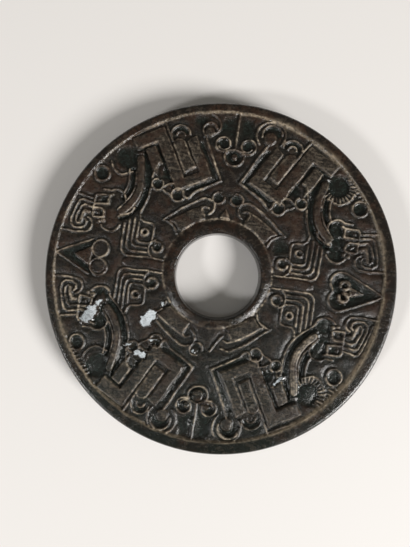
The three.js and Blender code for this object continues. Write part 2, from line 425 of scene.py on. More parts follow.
@dataclass(frozen=True)
class Fret:
    """Square meander work, laid on a slant with its own origin at the lower left corner."""

    tilt: float = 61.0
    corner: Point = (4.8, 34.9)
    band: float = 4.3
    arm: float = 11.3
    top: float = 26.2
    start: float = 1.4

    def at(self, q: float, p: float) -> Point:
        """A point q across the slanted bands and p along them.

        Args:
            q: Distance across the bands.
            p: Distance along them.

        Returns:
            The point, in the quadrant.
        """
        cos = math.cos(math.radians(self.tilt))
        sin = math.sin(math.radians(self.tilt))
        return self.corner[0] + p * cos + q * sin, self.corner[1] + p * sin - q * cos

    def meander(self) -> Path:
        """Outline of the broad band that turns twice.

        Returns:
            The outline's corners.
        """
        at = self.at
        inner = self.band + 0.9
        outer = self.arm + self.band + 0.1
        turn = self.top - self.band - 0.5
        return [
            at(self.start, 18.6), at(self.start, self.start), at(outer, self.start),
            at(outer, turn), at(23.6, turn), at(24.0, self.top), at(self.arm, self.top),
            at(self.arm, inner), at(inner, inner), at(inner, 18.0),
        ]

    def figures(self) -> list[Figure]:
        """The band, the tongue between its arms, the block past it and the lines round them.

        Returns:
            The figures, as drawn in the one quadrant.
        """
        at = self.at
        crown = [
            at(8.4 + 2.0 * math.cos(math.radians(a)), 18.2 + 1.6 * math.sin(math.radians(a)))
            for a in range(20, 180, 20)
        ]
        tongue = [at(6.2, 7.6), at(10.4, 7.2), at(10.4, 18.2), *crown, at(6.2, 18.0)]
        block = [
            at(17.1, 14.0), at(17.1, 20.5), at(21.0, 20.3), at(21.2, 13.5), at(20.6, 9.5),
            at(19.5, 12.0),
        ]
        curl = curve(at(10.0, -1.2), (14.0, 27.6), (15.3, 26.6), (16.6, 27.6), (16.9, 29.0))
        return [
            groove([at(0.2, 15.5), at(0.2, 0.2), at(12.0, 0.2)], 0.9),
            groove([at(16.3, 2.5), at(16.3, 20.6), at(23.0, 20.7)], 0.5),
            pit([at(7.4, 9.0), at(9.3, 8.8), at(9.3, 16.5), at(7.4, 16.5)]),
            raised(self.meander(), 0.55), raised(tongue, 0.75), raised(block, 0.6),
            *only(LEFT, thread([*tongue, tongue[0]], 0.75)),
            pit([at(7.5, 9.4), at(9.1, 9.2), at(9.1, 16.6), at(7.5, 16.6)]),
            thread([(11.9, 51.4), at(-1.1, -0.6), *curl], 0.8),
            thread([(27.8, 55.2), at(10.1, 18.0)], 0.7),
            thread([at(10.2, 27.8), at(24.0, 27.8)], 0.6),
        ]


@dataclass(frozen=True)
class FretCap:
    """The round cap over the tongue, and the socket where the fret meets the crescent."""

    cap: Point = (20.7, 50.4)
    socket: Point = (23.6, 34.6)

    def figures(self) -> list[Figure]:
        """Cap and socket with their hollows.

        Returns:
            The figures, as drawn in the one quadrant.
        """
        lid = (20.6, 50.0)
        return [
            pit([*arc(self.cap, 3.1, 165, -15), *arc(lid, 1.8, 10, 165)]),
            thread([(17.3, 51.0), *arc(self.cap, 3.6, 150, -25)], 0.6),
            thread(arc(lid, 1.6, 170, 0), 0.5),
            pit(circle(self.socket, 2.6)),
            line(0.6, (26.2, 38.2), (27.8, 37.0), (28.6, 34.8), (29.0, 32.6)),
        ]


@dataclass(frozen=True)
class CloudRings:
    """Two small cloud rings below the fret, joined by scallops."""

    right: Point = (26.8, 30.4)
    left: Point = (18.7, 27.3)

    def figures(self) -> list[Figure]:
        """Both rings with their hollows and the scallops between them.

        Returns:
            The figures, as drawn in the one quadrant.
        """
        return [
            pit(circle(self.right, 1.6)), thread(arc(self.right, 2.2, 120, 440, 2.0), 0.7),
            pit(circle(self.left, 1.8)), thread(arc(self.left, 2.4, 120, -150), 0.6),
            line(0.6, (20.2, 31.4), (22.6, 31.0), (24.4, 29.8)),
            line(0.6, (20.8, 26.2), (22.0, 27.4), (23.4, 27.9), (24.8, 28.9)),
        ]


@dataclass(frozen=True)
class Crescent:
    """The curved body between two deep grooves, with a small beak at its lower end."""

    spine: tuple[Point, ...] = (
        (34.5, 39.0), (33.6, 34.5), (33.1, 30.6), (33.2, 27.0), (34.2, 23.6), (36.2, 20.4),
        (38.6, 18.0))
    width: float = 2.5

    def ridge(self, knots: tuple[Point, ...], width: float, pale: float) -> Figure:
        """A raised band along some knots of the spine."""
        return Figure(Cut.RAISED, curve(*knots), width, pale)

    def figures(self) -> list[Figure]:
        """The body, its grooves, the lines that edge them and the beak.

        Returns:
            The figures, as drawn in the one quadrant.
        """
        outer = curve((32.7, 41.4), (31.0, 36.0), (30.5, 31.5), (30.7, 27.0), (32.3, 21.8),
                      (35.4, 17.6), (38.4, 15.4))
        inner = curve((36.5, 34.6), (36.1, 31.0), (36.3, 27.6), (37.2, 25.2), (38.6, 23.2))
        edge = line(0.6, (29.3, 32.0), (29.0, 28.2), (29.5, 24.8), (31.0, 21.0), (33.4, 17.8),
                    (37.2, 14.6), (38.8, 12.8))
        return [
            groove(outer, 1.9), groove(inner, 1.5),
            self.ridge(self.spine, self.width, 0.3),
            *only(LOWER_RIGHT, self.ridge(self.spine, 2.0, 0.8),
                  self.ridge(self.spine, 1.2, 0.9), edge),
            *only(LOWER_LEFT, edge, self.ridge(self.spine[1:4], 1.2, 0.9)),
            *only(UPPER, line(0.7, (29.2, 28.2), (29.6, 24.8), (30.7, 21.0), (31.6, 18.6))),
            line(0.5, (35.0, 33.4), (34.7, 28.6), (35.8, 24.8), (38.0, 21.4), (40.2, 18.6)),
            line(0.6, (37.7, 34.4), (37.4, 30.6), (37.7, 27.6), (38.5, 25.4)),
            *only(UPPER, line(0.6, (34.0, 20.4), (35.0, 18.4), (37.4, 17.1), (39.4, 16.2))),
        ]


@dataclass(frozen=True)
class CombEye:
    """The dark round hollow with a comb of short teeth round it and along the rim."""

    centre: Point = (39.4, 38.8)
    radius: float = 4.6
    fan: tuple[int, int, int] = (-140, 41, 15)
    tooth: float = 0.45
    rim_teeth: int = 7
    first_rim_tooth: Point = (44.2, 42.4)
    last_rim_tooth: Point = (50.0, 35.6)
    rim_tooth_run: Point = (-2.0, -0.6)

    def figures(self) -> list[Figure]:
        """The hollow, the fan of teeth, the teeth on the rim and the line under them.

        Returns:
            The figures, as drawn in the one quadrant.
        """
        made = [pit(circle(self.centre, self.radius))]
        u, v = self.centre
        for angle in range(*self.fan):
            teeth = [polar((u + 0.2, v - 0.2), 4.1, angle), polar((u + 0.5, v - 0.4), 6.2, angle)]
            made += only(RIGHT, Figure(Cut.TOOTH, teeth, self.tooth))
        for step in range(self.rim_teeth):
            share = step / (self.rim_teeth - 1)
            base = tuple(
                a + (b - a) * share for a, b in zip(self.first_rim_tooth, self.last_rim_tooth))
            tip = (base[0] + self.rim_tooth_run[0], base[1] + self.rim_tooth_run[1])
            made += only(BUT_UPPER_LEFT, Figure(Cut.TOOTH, [base, tip], self.tooth))
        below = line(0.6, (36.6, 33.4), (38.4, 32.6), (40.6, 32.0), (42.8, 33.0), (44.4, 34.6),
                     (45.2, 36.6))
        return made + [below]


@dataclass(frozen=True)
class RimRing:
    """The open ring scroll that touches the rim."""

    centre: Point = (48.0, 31.4)

    def figures(self) -> list[Figure]:
        """The ring and its hollow."""
        return [pit(circle(self.centre, 2.3)), thread(arc(self.centre, 2.9, 60, 400, 2.7), 0.85)]


@dataclass(frozen=True)
class CloudHollows:
    """Two round hollows, one above the other, that run together behind the crescent's head."""

    upper: Point = (41.2, 22.4)
    lower: Point = (42.1, 14.2)

    def figures(self) -> list[Figure]:
        """The hollows and the lines over and under them.

        Returns:
            The figures, as drawn in the one quadrant.
        """
        return [
            *only(BUT_UPPER_LEFT,
                  pit(circle(self.upper, 3.0)), pit(circle(self.lower, 3.4)),
                  pit([(40.0, 20.5), (44.0, 20.5), (44.6, 16.0), (40.0, 16.0)])),
            thread([*arc((41.2, 22.6), 3.6, 195, 50), (46.5, 25.6)], 0.6),
            thread(arc(self.lower, 4.0, 200, 330), 0.6),
        ]


@dataclass(frozen=True)
class EyeletSquares:
    """The small squares with drilled eyelets between the hollows and the nested scroll."""

    eyelets: tuple[Point, ...] = ((46.1, 21.7), (46.4, 16.7), (48.0, 16.0))
    drills: tuple[float, ...] = (1.25, 0.9, 0.7)

    def figures(self) -> list[Figure]:
        """The squares' lines and the eyelets.

        Returns:
            The figures, as drawn in the one quadrant.
        """
        made = [pit(circle(centre, drill)) for centre, drill in zip(self.eyelets, self.drills)]
        return made + [
            thread([(42.8, 24.0), (44.0, 23.5), (48.6, 23.5), (49.2, 22.6), (49.4, 15.4)], 0.85),
            thread([(44.0, 23.5), (43.9, 20.2), (49.2, 19.9)], 0.9),
            thread([(44.8, 15.4), (45.2, 17.6), (46.2, 18.3), (49.3, 18.4)], 0.85),
            thread([(44.8, 15.2), (46.6, 14.8), (49.3, 14.8)], 0.7),
            raised(circle((44.9, 13.8), 0.8), 0.8), raised(circle((46.6, 13.2), 0.6), 0.7),
        ]


@dataclass(frozen=True)
class NestedScroll:
    """Square scroll lines nested in each other beside the rim."""

    def figures(self) -> list[Figure]:
        """The four nested lines and the round one that closes them.

        Returns:
            The figures, as drawn in the one quadrant.
        """
        short = [(49.8, 21.9), (55.6, 22.8)]
        long = [(49.8, 21.8), (53.8, 22.8), (55.4, 22.4), (56.5, 20.4), (57.8, 16.0), (58.9, 11.2)]
        outer = [(49.8, 20.3), (53.4, 20.9), (54.9, 20.3), (55.9, 17.8), (57.2, 13.4),
                 (57.0, 11.2), (55.6, 10.1), (53.0, 10.1), (51.6, 11.0), (51.3, 12.6), (52.2, 13.6)]
        inner = [(49.8, 18.4), (52.6, 19.0), (53.9, 18.2), (55.4, 14.6), (55.4, 12.6),
                 (54.6, 11.7), (53.6, 11.9)]
        return [
            *only(BUT_LOWER_RIGHT, thread(short, 0.7)),
            *only(LOWER_RIGHT, thread(long, 0.6)),
            thread(outer, 0.6), thread(inner, 0.6),
            thread([(50.9, 16.4), (52.3, 16.6), (52.9, 15.2), (53.6, 12.4)], 1.5),
            thread([*arc((51.9, 11.6), 2.8, 105, 250), (54.5, 8.5), (60.6, 8.9)], 0.7),
        ]


@dataclass(frozen=True)
class Heart:
    """The heart on the level axis, its point to the rim, with two curls and a wedge in it."""

    shoulder: Point = (45.5, 3.4)
    disc: Point = (44.3, 3.4)
    tip: Point = (60.8, 0.2)

    def figures(self) -> list[Figure]:
        """Outline, curls and wedge on the right, and two round bosses and a wedge on the left.

        Returns:
            The figures, as drawn in the one quadrant.
        """
        hollow = [(43.2, -1.0), (43.2, 0.6), *arc(self.shoulder, 3.2, 205, 65), (49.8, 5.0),
                  (58.6, 0.6), (58.6, -1.0)]
        outline = [(42.9, 0.0), *arc(self.shoulder, 3.9, 222, 65), (49.8, 5.7), self.tip]
        void = [(45.0, 6.6), (47.4, 6.6), (49.8, 5.0), (58.6, 0.6), (58.6, -1.0), (46.0, -1.0)]
        return [
            *only(RIGHT, pit(hollow), thread(arc((47.0, 2.2), 1.65, 200, -95, 1.5), 1.4),
                  thread(outline, 0.6),
                  raised([(48.9, -1.8), (48.9, 1.8), (54.0, 0.0)], 0.6)),
            *only(LEFT, pit(void), thread(arc(self.disc, 3.1, 0, 360), 0.7, 0.7),
                  Figure(Cut.LEDGE, circle(self.disc, 2.7)),
                  raised([(46.6, -3.4), (47.4, 3.6), (49.6, 2.6), (53.8, 0.0)], 0.45),
                  thread([(47.6, 6.5), self.tip], 0.5, 0.6)),
        ]


@dataclass(frozen=True)
class BeastEye:
    """The square eye beside the level axis, with three lines nested round it."""

    eye: Point = (28.8, 11.7)
    corner: Point = (33.2, 5.9)
    step: float = 1.75
    first_bend: float = 2.4
    wider_bend: float = 0.3
    tops: tuple[float, ...] = (16.8, 15.4, 14.0)
    ends: tuple[float, ...] = (26.6, 26.8, 20.6)
    small_ring: Point = (23.3, 6.7)

    def figures(self) -> list[Figure]:
        """The eye's square and pupil, the nested lines, the small ring and the axis band.

        Returns:
            The figures, as drawn in the one quadrant.
        """
        made = [pit(circle(self.eye, 0.75)), pit(circle(self.small_ring, 1.2))]
        for index, (top, end) in enumerate(zip(self.tops, self.ends)):
            u = self.corner[0] + self.step * index
            v = self.corner[1] - self.step * index
            radius = self.first_bend + self.wider_bend * index
            bend = arc((u - radius, v + radius), radius, 0, -90)
            made.append(thread([(u, top), *bend, (end, v)], 0.6))
        square = [
            (31.6, 18.6), (31.2, 16.6), (30.0, 15.6), (27.2, 15.3),
            *arc((27.2, 13.6), 1.7, 100, 180), (25.7, 9.4), *arc((27.2, 9.2), 1.5, 180, 270),
            (29.8, 7.6), *arc((29.9, 9.2), 1.6, 270, 350), (31.5, 15.0),
        ]
        beside = curve((18.8, 11.4), (19.4, 14.6), (21.6, 15.8), (24.4, 15.4), (24.6, 11.0),
                       (22.0, 9.9), (19.8, 9.4))
        band = [(18.0, -1.7), (18.0, 1.7), (33.5, 1.7), (35.6, 0.8), (35.6, -0.8), (33.5, -1.7)]
        return made + [
            *only((Quarter.UPPER_RIGHT,), pit(beside)),
            thread(square, 0.6), thread(arc(self.eye, 1.25, 0, 360), 0.9),
            line(0.7, (17.0, 12.6), (18.2, 15.2), (20.2, 16.7), (22.4, 17.4)),
            thread(arc(self.small_ring, 1.95, 70, 350), 1.0),
            line(0.7, (24.4, 9.2), (25.9, 8.2), (26.5, 6.0), (26.0, 3.9), (24.6, 2.6)),
            Figure(Cut.LEDGE, band),
        ]


@dataclass(frozen=True)
class Brow:
    """The brow that bridges the upright axis over the ring, with a ring scroll at its end."""

    scroll: Point = (3.3, 28.2)

    def figures(self) -> list[Figure]:
        """The brow, its two lines, the ring scroll and the small curls.

        Returns:
            The figures, as drawn in the one quadrant.
        """
        band = [
            *curve((8.8, 24.1), (12.0, 22.6), (16.0, 20.0), (19.4, 17.5), (18.0, 16.2),
                   (16.6, 14.4), spans=3),
            (15.2, 13.8), (10.5, 17.6), (7.0, 19.3),
        ]
        return [
            raised(band, 0.3),
            line(0.7, (8.6, 24.2), (12.0, 22.6), (16.0, 20.0), (19.6, 17.4)),
            line(0.7, (5.6, 26.9), (8.2, 27.6), (11.2, 26.2), (15.4, 23.4), (19.0, 20.4),
                 (22.4, 17.4)),
            *only(BUT_LOWER_RIGHT,
                  pit(circle(self.scroll, 1.7)), thread(arc(self.scroll, 2.4, 100, -190, 2.2), 0.6),
                  line(0.6, (4.9, 26.5), (4.3, 25.0), (4.6, 23.2), (6.0, 21.6))),
            *only(LOWER_RIGHT,
                  line(0.7, (1.8, 28.4), (3.0, 26.2), (4.2, 24.2), (5.8, 22.4))),
            line(0.6, (6.4, 24.0), (7.8, 24.5), (8.9, 23.4), (8.6, 21.8), (7.6, 21.0)),
            *only(UPPER, raised([(-2.0, 20.6), (0.0, 24.2), (2.0, 20.6)], 0.9)),
        ]


MOTIFS = (
    Trefoil(), RimHook(), Fret(), FretCap(), CloudRings(), Crescent(), CombEye(), RimRing(),
    CloudHollows(), EyeletSquares(), NestedScroll(), Heart(), BeastEye(), Brow(),
)


# --- the carved face


LATTICE_SPAN = 160  # the noise covers more than the disc's width, in millimetres


@dataclass(frozen=True)
class StoneNoise:
    """Smooth seeded noise over the disc, from -1 to 1.

    Args:
        seed: Seed of the random lattice.
        cell: Size of a lattice cell, in millimetres.
    """

    seed: int
    cell: float

    def at(self, x: Array, y: Array) -> Array:
        """The noise at some points.

        Args:
            x: Points' places across the disc.
            y: Points' places up the disc.

        Returns:
            The noise, from -1 to 1.
        """
        size = int(LATTICE_SPAN / self.cell) + 3
        lattice = np.random.default_rng(self.seed).uniform(-1.0, 1.0, (size, size))
        across = x / self.cell + size / 2
        up = y / self.cell + size / 2
        i = np.clip(across.astype(int), 0, size - 2)
        j = np.clip(up.astype(int), 0, size - 2)
        s = ease(across - i, 0.0, 1.0)
        t = ease(up - j, 0.0, 1.0)
        low = lattice[i, j] * (1 - s) + lattice[i + 1, j] * s
        high = lattice[i, j + 1] * (1 - s) + lattice[i + 1, j + 1] * s
        return low * (1 - t) + high * t


@dataclass(frozen=True)
class QuadrantLayout:
    """Where the four copies of the quadrant lie.

    The layout is centred near the hole and drifts to the rim's own centre towards the edge.

    Args:
        centre: Where the two axes cross.
        pull: Drift gained by the time a point is a reach away from the centre.
        reach: The distance over which that drift is gained.
        twist: Sideways lean of the upright axis.
        wobble: How far the carver's hand strayed.
    """

    centre: Point = (-2.0, 1.6)
    pull: Point = (1.15, -1.58)
    reach: float = 60.0
    twist: float = 0.012
    wobble: float = 0.22

    def fold(self, x: Array, y: Array) -> tuple[Array, Array, Array, Array]:
        """Folds points of the disc into the one quadrant that is drawn.

        Args:
            x: Points' places across the disc.
            y: Points' places up the disc.

        Returns:
            The folded places, and the signs of the quadrant that each point came from.
        """
        across = x - self.centre[0] - self.pull[0] * (x / self.reach) ** 2 - self.twist * y
        up = y - self.centre[1] - self.pull[1] * (y / self.reach) ** 2
        across = across + self.wobble * StoneNoise(11, 6.0).at(x, y)
        up = up + self.wobble * StoneNoise(12, 6.0).at(x, y)
        return np.abs(across), np.abs(up), np.sign(across), np.sign(up)


GROUND_TONE_AND_SHADE = 0.5  # value of the colour mask for stone that is neither hollow nor top


@dataclass
class Surface:
    """What is known about the points of a face.

    Args:
        height: Height above the table, in millimetres.
        gap: Distance to the nearest crease.
        shift_x: Part along X of the unit step away from that crease.
        shift_y: Part along Y of the same step.
        deposit: Buff deposit, from 0 to 1.
        polish: Gloss, from 0 to 1.
        crest: Colour mask, 0 in a pit, about 0.5 on the ground and 1 on a raised top; high values
            give the tops their dusty tone, low ones paint shade into the deep parts.
    """

    height: Array
    gap: Array
    shift_x: Array
    shift_y: Array
    deposit: Array
    polish: Array
    crest: Array

    @classmethod
    def bare(cls, shape: tuple[int, ...], polish: float) -> "Surface":
        """A surface without a crease or deposit, evenly polished.

        Args:
            shape: Shape of the points' arrays.
            polish: Its gloss, from 0 to 1.

        Returns:
            The surface.
        """
        height, shift_x, shift_y, deposit = (np.zeros(shape) for _ in range(4))
        return cls(height, np.full(shape, FAR), shift_x, shift_y, deposit,
                   np.full(shape, polish), np.full(shape, GROUND_TONE_AND_SHADE))

    def crease(self, where: Array, offset: Array, toward_x: Array, toward_y: Array) -> None:
        """Notes a crease where it is nearer than the ones known so far.

        Args:
            where: Indices of the points.
            offset: Their signed distances from the crease.
            toward_x: Part along X of the unit direction in which the distance grows.
            toward_y: Part along Y of the same direction.
        """
        nearer = np.abs(offset) < np.abs(self.gap[where])
        chosen = where[nearer]
        self.gap[chosen] = offset[nearer]
        self.shift_x[chosen] = toward_x[nearer]
        self.shift_y[chosen] = toward_y[nearer]


Survey = Callable[[Array, Array], Surface]


@dataclass(frozen=True)
class Circle:
    """A round edge with its own centre."""

    centre: Point
    radius: float

    def offset(self, x: Array, y: Array) -> tuple[Array, Array, Array]:
        """Distance outside the circle, and the outward direction.

        Args:
            x: Points' places across the disc.
            y: Points' places up the disc.

        Returns:
            The distance, and the two parts of the direction.
        """
        off_x = x - self.centre[0]
        off_y = y - self.centre[1]
        reach = np.maximum(np.hypot(off_x, off_y), TINY)
        return reach - self.radius, off_x / reach, off_y / reach

    def points(self, count: int) -> Array:
        """Points spaced evenly round the circle.

        Args:
            count: How many points there are.

        Returns:
            One row for each point.
        """
        angles = np.arange(count) * 2 * math.pi / count
        return np.column_stack([
            self.centre[0] + self.radius * np.cos(angles),
            self.centre[1] + self.radius * np.sin(angles),
        ])


@dataclass(frozen=True)
class DiscPlan:
    """The disc's circles, in millimetres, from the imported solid's size.

    Args:
        radius: Half the disc's width.
        thickness: Height of the rim's top.
        shoulder: How far the rim's edge rounds over.
        chamfer: How far the hole's edge rounds over.
    """

    radius: float
    thickness: float
    shoulder: float = 1.5
    chamfer: float = 0.7

    @classmethod
    def from_frame(cls) -> "DiscPlan":
        """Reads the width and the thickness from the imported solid."""
        low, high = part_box(NODE)
        return cls(radius=(high.x - low.x) / 2 / MM, thickness=(high.z - low.z) / MM)

    @property
    def edge(self) -> Circle:
        """Where the flat top of the rim begins to round over."""
        return Circle((0.0, 0.0), self.radius - self.shoulder)

    @property
    def hole(self) -> Circle:
        """The wall of the hole."""
        return Circle((-1.33, 0.68), 0.2438 * self.radius)

    @property
    def lip(self) -> Circle:
        """Where the flat top round the hole begins."""
        return Circle(self.hole.centre, self.hole.radius + self.chamfer)

    @property
    def ring(self) -> Circle:
        """The foot of the raised ring round the hole."""
        return Circle((-1.65, 1.6), 0.3123 * self.radius)

    @property
    def rim(self) -> Circle:
        """The inner edge of the raised rim."""
        return Circle((-0.85, 0.5), 0.9338 * self.radius)


@dataclass(frozen=True)
class GlazedPatch:
    """A worn smooth spot where the first polish is left whole.

    Args:
        start: One end of the spot's spine.
        end: Its other end.
        reach: How far the spot extends from its spine.
        lean: Slope of its flat bottom along X and Y, positive where it falls.
    """

    STRAY = 0.4  # how far its edge strays from its line
    FADE = 0.3  # how far inside and outside of its edge it fades

    start: Point
    end: Point
    reach: float
    lean: Point = (0.0, 0.0)

    def depth(self, x: Array, y: Array, level: float) -> Array:
        """Depth of its flat bottom at some points."""
        return level + self.lean[0] * (x - self.start[0]) + self.lean[1] * (y - self.start[1])

    def share(self, x: Array, y: Array) -> Array:
        """How far inside the spot some points lie, from 0 to 1.

        Args:
            x: Points' places across the disc.
            y: Points' places up the disc.

        Returns:
            The share, which is 1 well inside the spot.
        """
        spine = Figure(Cut.THREAD, (self.start, self.end), 2 * self.reach)
        outside, _, _ = spine.distance(x, y)
        stray = self.STRAY * StoneNoise(23, 0.9).at(x, y)
        return ease(-outside + stray, -self.FADE, self.FADE)


@dataclass(frozen=True)
class RingSeam:
    """The thin line of deposit at the foot of the ring.

    Args:
        ring: The ring's foot.
        pale: How much deposit it holds, from 0 to 1.
        inset: How far inside the foot it lies.
        waver: How far it strays from a true circle.
        spread: How far it spreads.
    """

    ring: Circle
    pale: float = 0.8
    inset: float = 0.1
    waver: float = 0.18
    spread: float = 0.22

    def at(self, x: Array, y: Array) -> Array:
        """The deposit at some points.

        Args:
            x: Points' places across the disc.
            y: Points' places up the disc.

        Returns:
            The deposit, from 0 to 1.
        """
        waver = self.waver * StoneNoise(24, 3.5).at(x, y)
        outside, _, _ = self.ring.offset(x, y)
        return self.pale * np.exp(-(((outside + self.inset + waver) / self.spread) ** 2))


@dataclass(frozen=True)
class PlainBands:
    """The plain rim and ring on either side of the relief.

    Args:
        plan: The disc's circles.
        step: Width of the slope from the rim down to the ground.
        overrun: How much more than the ground's depth it falls within that width.
        rim_top: Depth of the rim's flat top.
        ring_top: Depth of the ring's flat top.
        bevel: Width of the ring's long bevel.
        steepness: Slope of the bevel.
        rounding: How gently the bevel begins.
        foot: Slope of the wall at the bevel's foot.
        crest: Value of the colour mask on the outer part of the rim.
        inner_crest: What it gains by the rim's inner edge, and on the ring.
        inner_width: How far from that edge the gain begins.
    """

    plan: DiscPlan
    step: float = 0.55
    overrun: float = 0.1
    rim_top: float = 0.04
    ring_top: float = 0.03
    bevel: float = 2.8
    steepness: float = 0.46
    rounding: float = 0.5
    foot: float = 3.0
    crest: float = 0.52
    inner_crest: float = 0.12
    inner_width: float = 3.2

    def depth(self, x: Array, y: Array, ground: float, face: Surface) -> Array:
        """Depth of the bands, far below everything between them.

        Args:
            x: Points' places across the disc.
            y: Points' places up the disc.
            ground: Depth of the ground.
            face: Takes the creases of the bands' edges.

        Returns:
            The bands' own depth at each point.
        """
        every = np.arange(x.size)
        outside, rim_x, rim_y = self.plan.rim.offset(x, y)
        fall = np.clip(-outside / self.step + 0.5, 0.0, 2.0)
        rim = self.rim_top + (ground + self.overrun) * fall
        past, ring_x, ring_y = self.plan.ring.offset(x, y)
        along = np.clip(past + self.bevel, 0.0, None)
        bevel = self.steepness * (np.hypot(along, self.rounding) - self.rounding)
        ring = self.ring_top + bevel + self.foot * np.clip(past, 0.0, 1.0)
        for level in (-self.step / 2, self.step / 2):
            face.crease(every, outside - level, rim_x, rim_y)
        face.crease(every, past, ring_x, ring_y)
        return np.minimum(rim, ring)

    def crest_at(self, x: Array, y: Array) -> Array:
        """The bands' crest value at some points."""
        inward = ease(-self.plan.rim.offset(x, y)[0], -self.inner_width, 0.0)
        return self.crest + self.inner_crest * inward


BARE_POLISH = 0.1  # gloss of the carved stone
BAND_POLISH = 0.58  # gloss of the plain bands
DEEPEST = 2.0  # depth where the colour mask comes down to 0; deeper stone is painted darker as shade


class Relief:
    """What the figures leave of the stone at some points, taken one figure at a time."""

    CROWN = 0.16  # how far a top falls off towards its edge
    CROWN_RUN = 0.8  # how far in from the edge it does so
    CHISEL = 0.07  # unevenness of a raised top
    OVERCUT = 0.15  # how far a wall is drawn below the ground, so that it meets it
    LIP = 0.12  # how far outside its line the wall of a hollow begins
    SHINE = (-0.1, 0.5)  # how far inside its line a hollow's polish begins and is whole
    RISE = (0.35, 1.7)  # how far from a figure the ground begins and ends to rise

    def __init__(self, shape: tuple[int, ...], ground: float) -> None:
        """Starts with uncut stone.

        Args:
            shape: Shape of the points' arrays.
            ground: Depth of the ground close to a figure.
        """
        self.ground = ground
        self.sunk = np.zeros(shape)
        self.top = np.full(shape, UNCUT)
        self.nearest = np.full(shape, FAR)
        self.pale = np.zeros(shape)
        self.polish = np.full(shape, BARE_POLISH)

    def sink(self, profile: Profile, where: Array, offset: Array) -> None:
        """Cuts a pit or a groove.

        Args:
            profile: Its section.
            where: Indices of the points close to it.
            offset: Their signed distances from its edge.
        """
        left = 1.0 - np.clip((self.LIP - offset) / profile.wall, 0.0, 1.0)
        sunk = (1.0 - left**2) * (profile.depth - self.ground)
        self.sunk[where] = np.maximum(self.sunk[where], sunk)
        polish = profile.polish * ease(-offset, *self.SHINE)
        self.polish[where] = np.maximum(self.polish[where], polish)

    def leave(self, figure: Figure, where: Array, offset: Array, worn: Array) -> None:
        """Leaves a figure standing.

        Args:
            figure: The figure.
            where: Indices of the points close to it.
            offset: Their signed distances from its edge.
            worn: Wear at these points.
        """
        profile = figure.profile
        fall = np.clip((offset + profile.wall / 2) / profile.wall, 0.0, 1.0)
        crown = self.CROWN * np.clip(1.0 + offset / self.CROWN_RUN, 0.0, 1.0) ** 2
        rough = self.CHISEL * worn if figure.cut is Cut.RAISED else 0.0
        top = profile.depth + crown + rough
        level = top + fall * (self.ground + self.OVERCUT - top)
        known = self.top[where]
        self.top[where] = np.where(fall < 1.0, np.minimum(known, level), known)
        self.nearest[where] = np.minimum(self.nearest[where], np.maximum(offset, 0.0))
        self.pale[where] = np.maximum(self.pale[where], figure.dust(offset))

    def depth(self, open_ground: float) -> Array:
        """Depth of the finished relief, whose ground rises away from all figures.

        Args:
            open_ground: Depth of the ground away from all figures.

        Returns:
            The depth at each point.
        """
        rise = ease(self.nearest, *self.RISE)
        base = self.ground + (open_ground - self.ground) * rise
        return np.minimum(base + self.sunk, self.top)


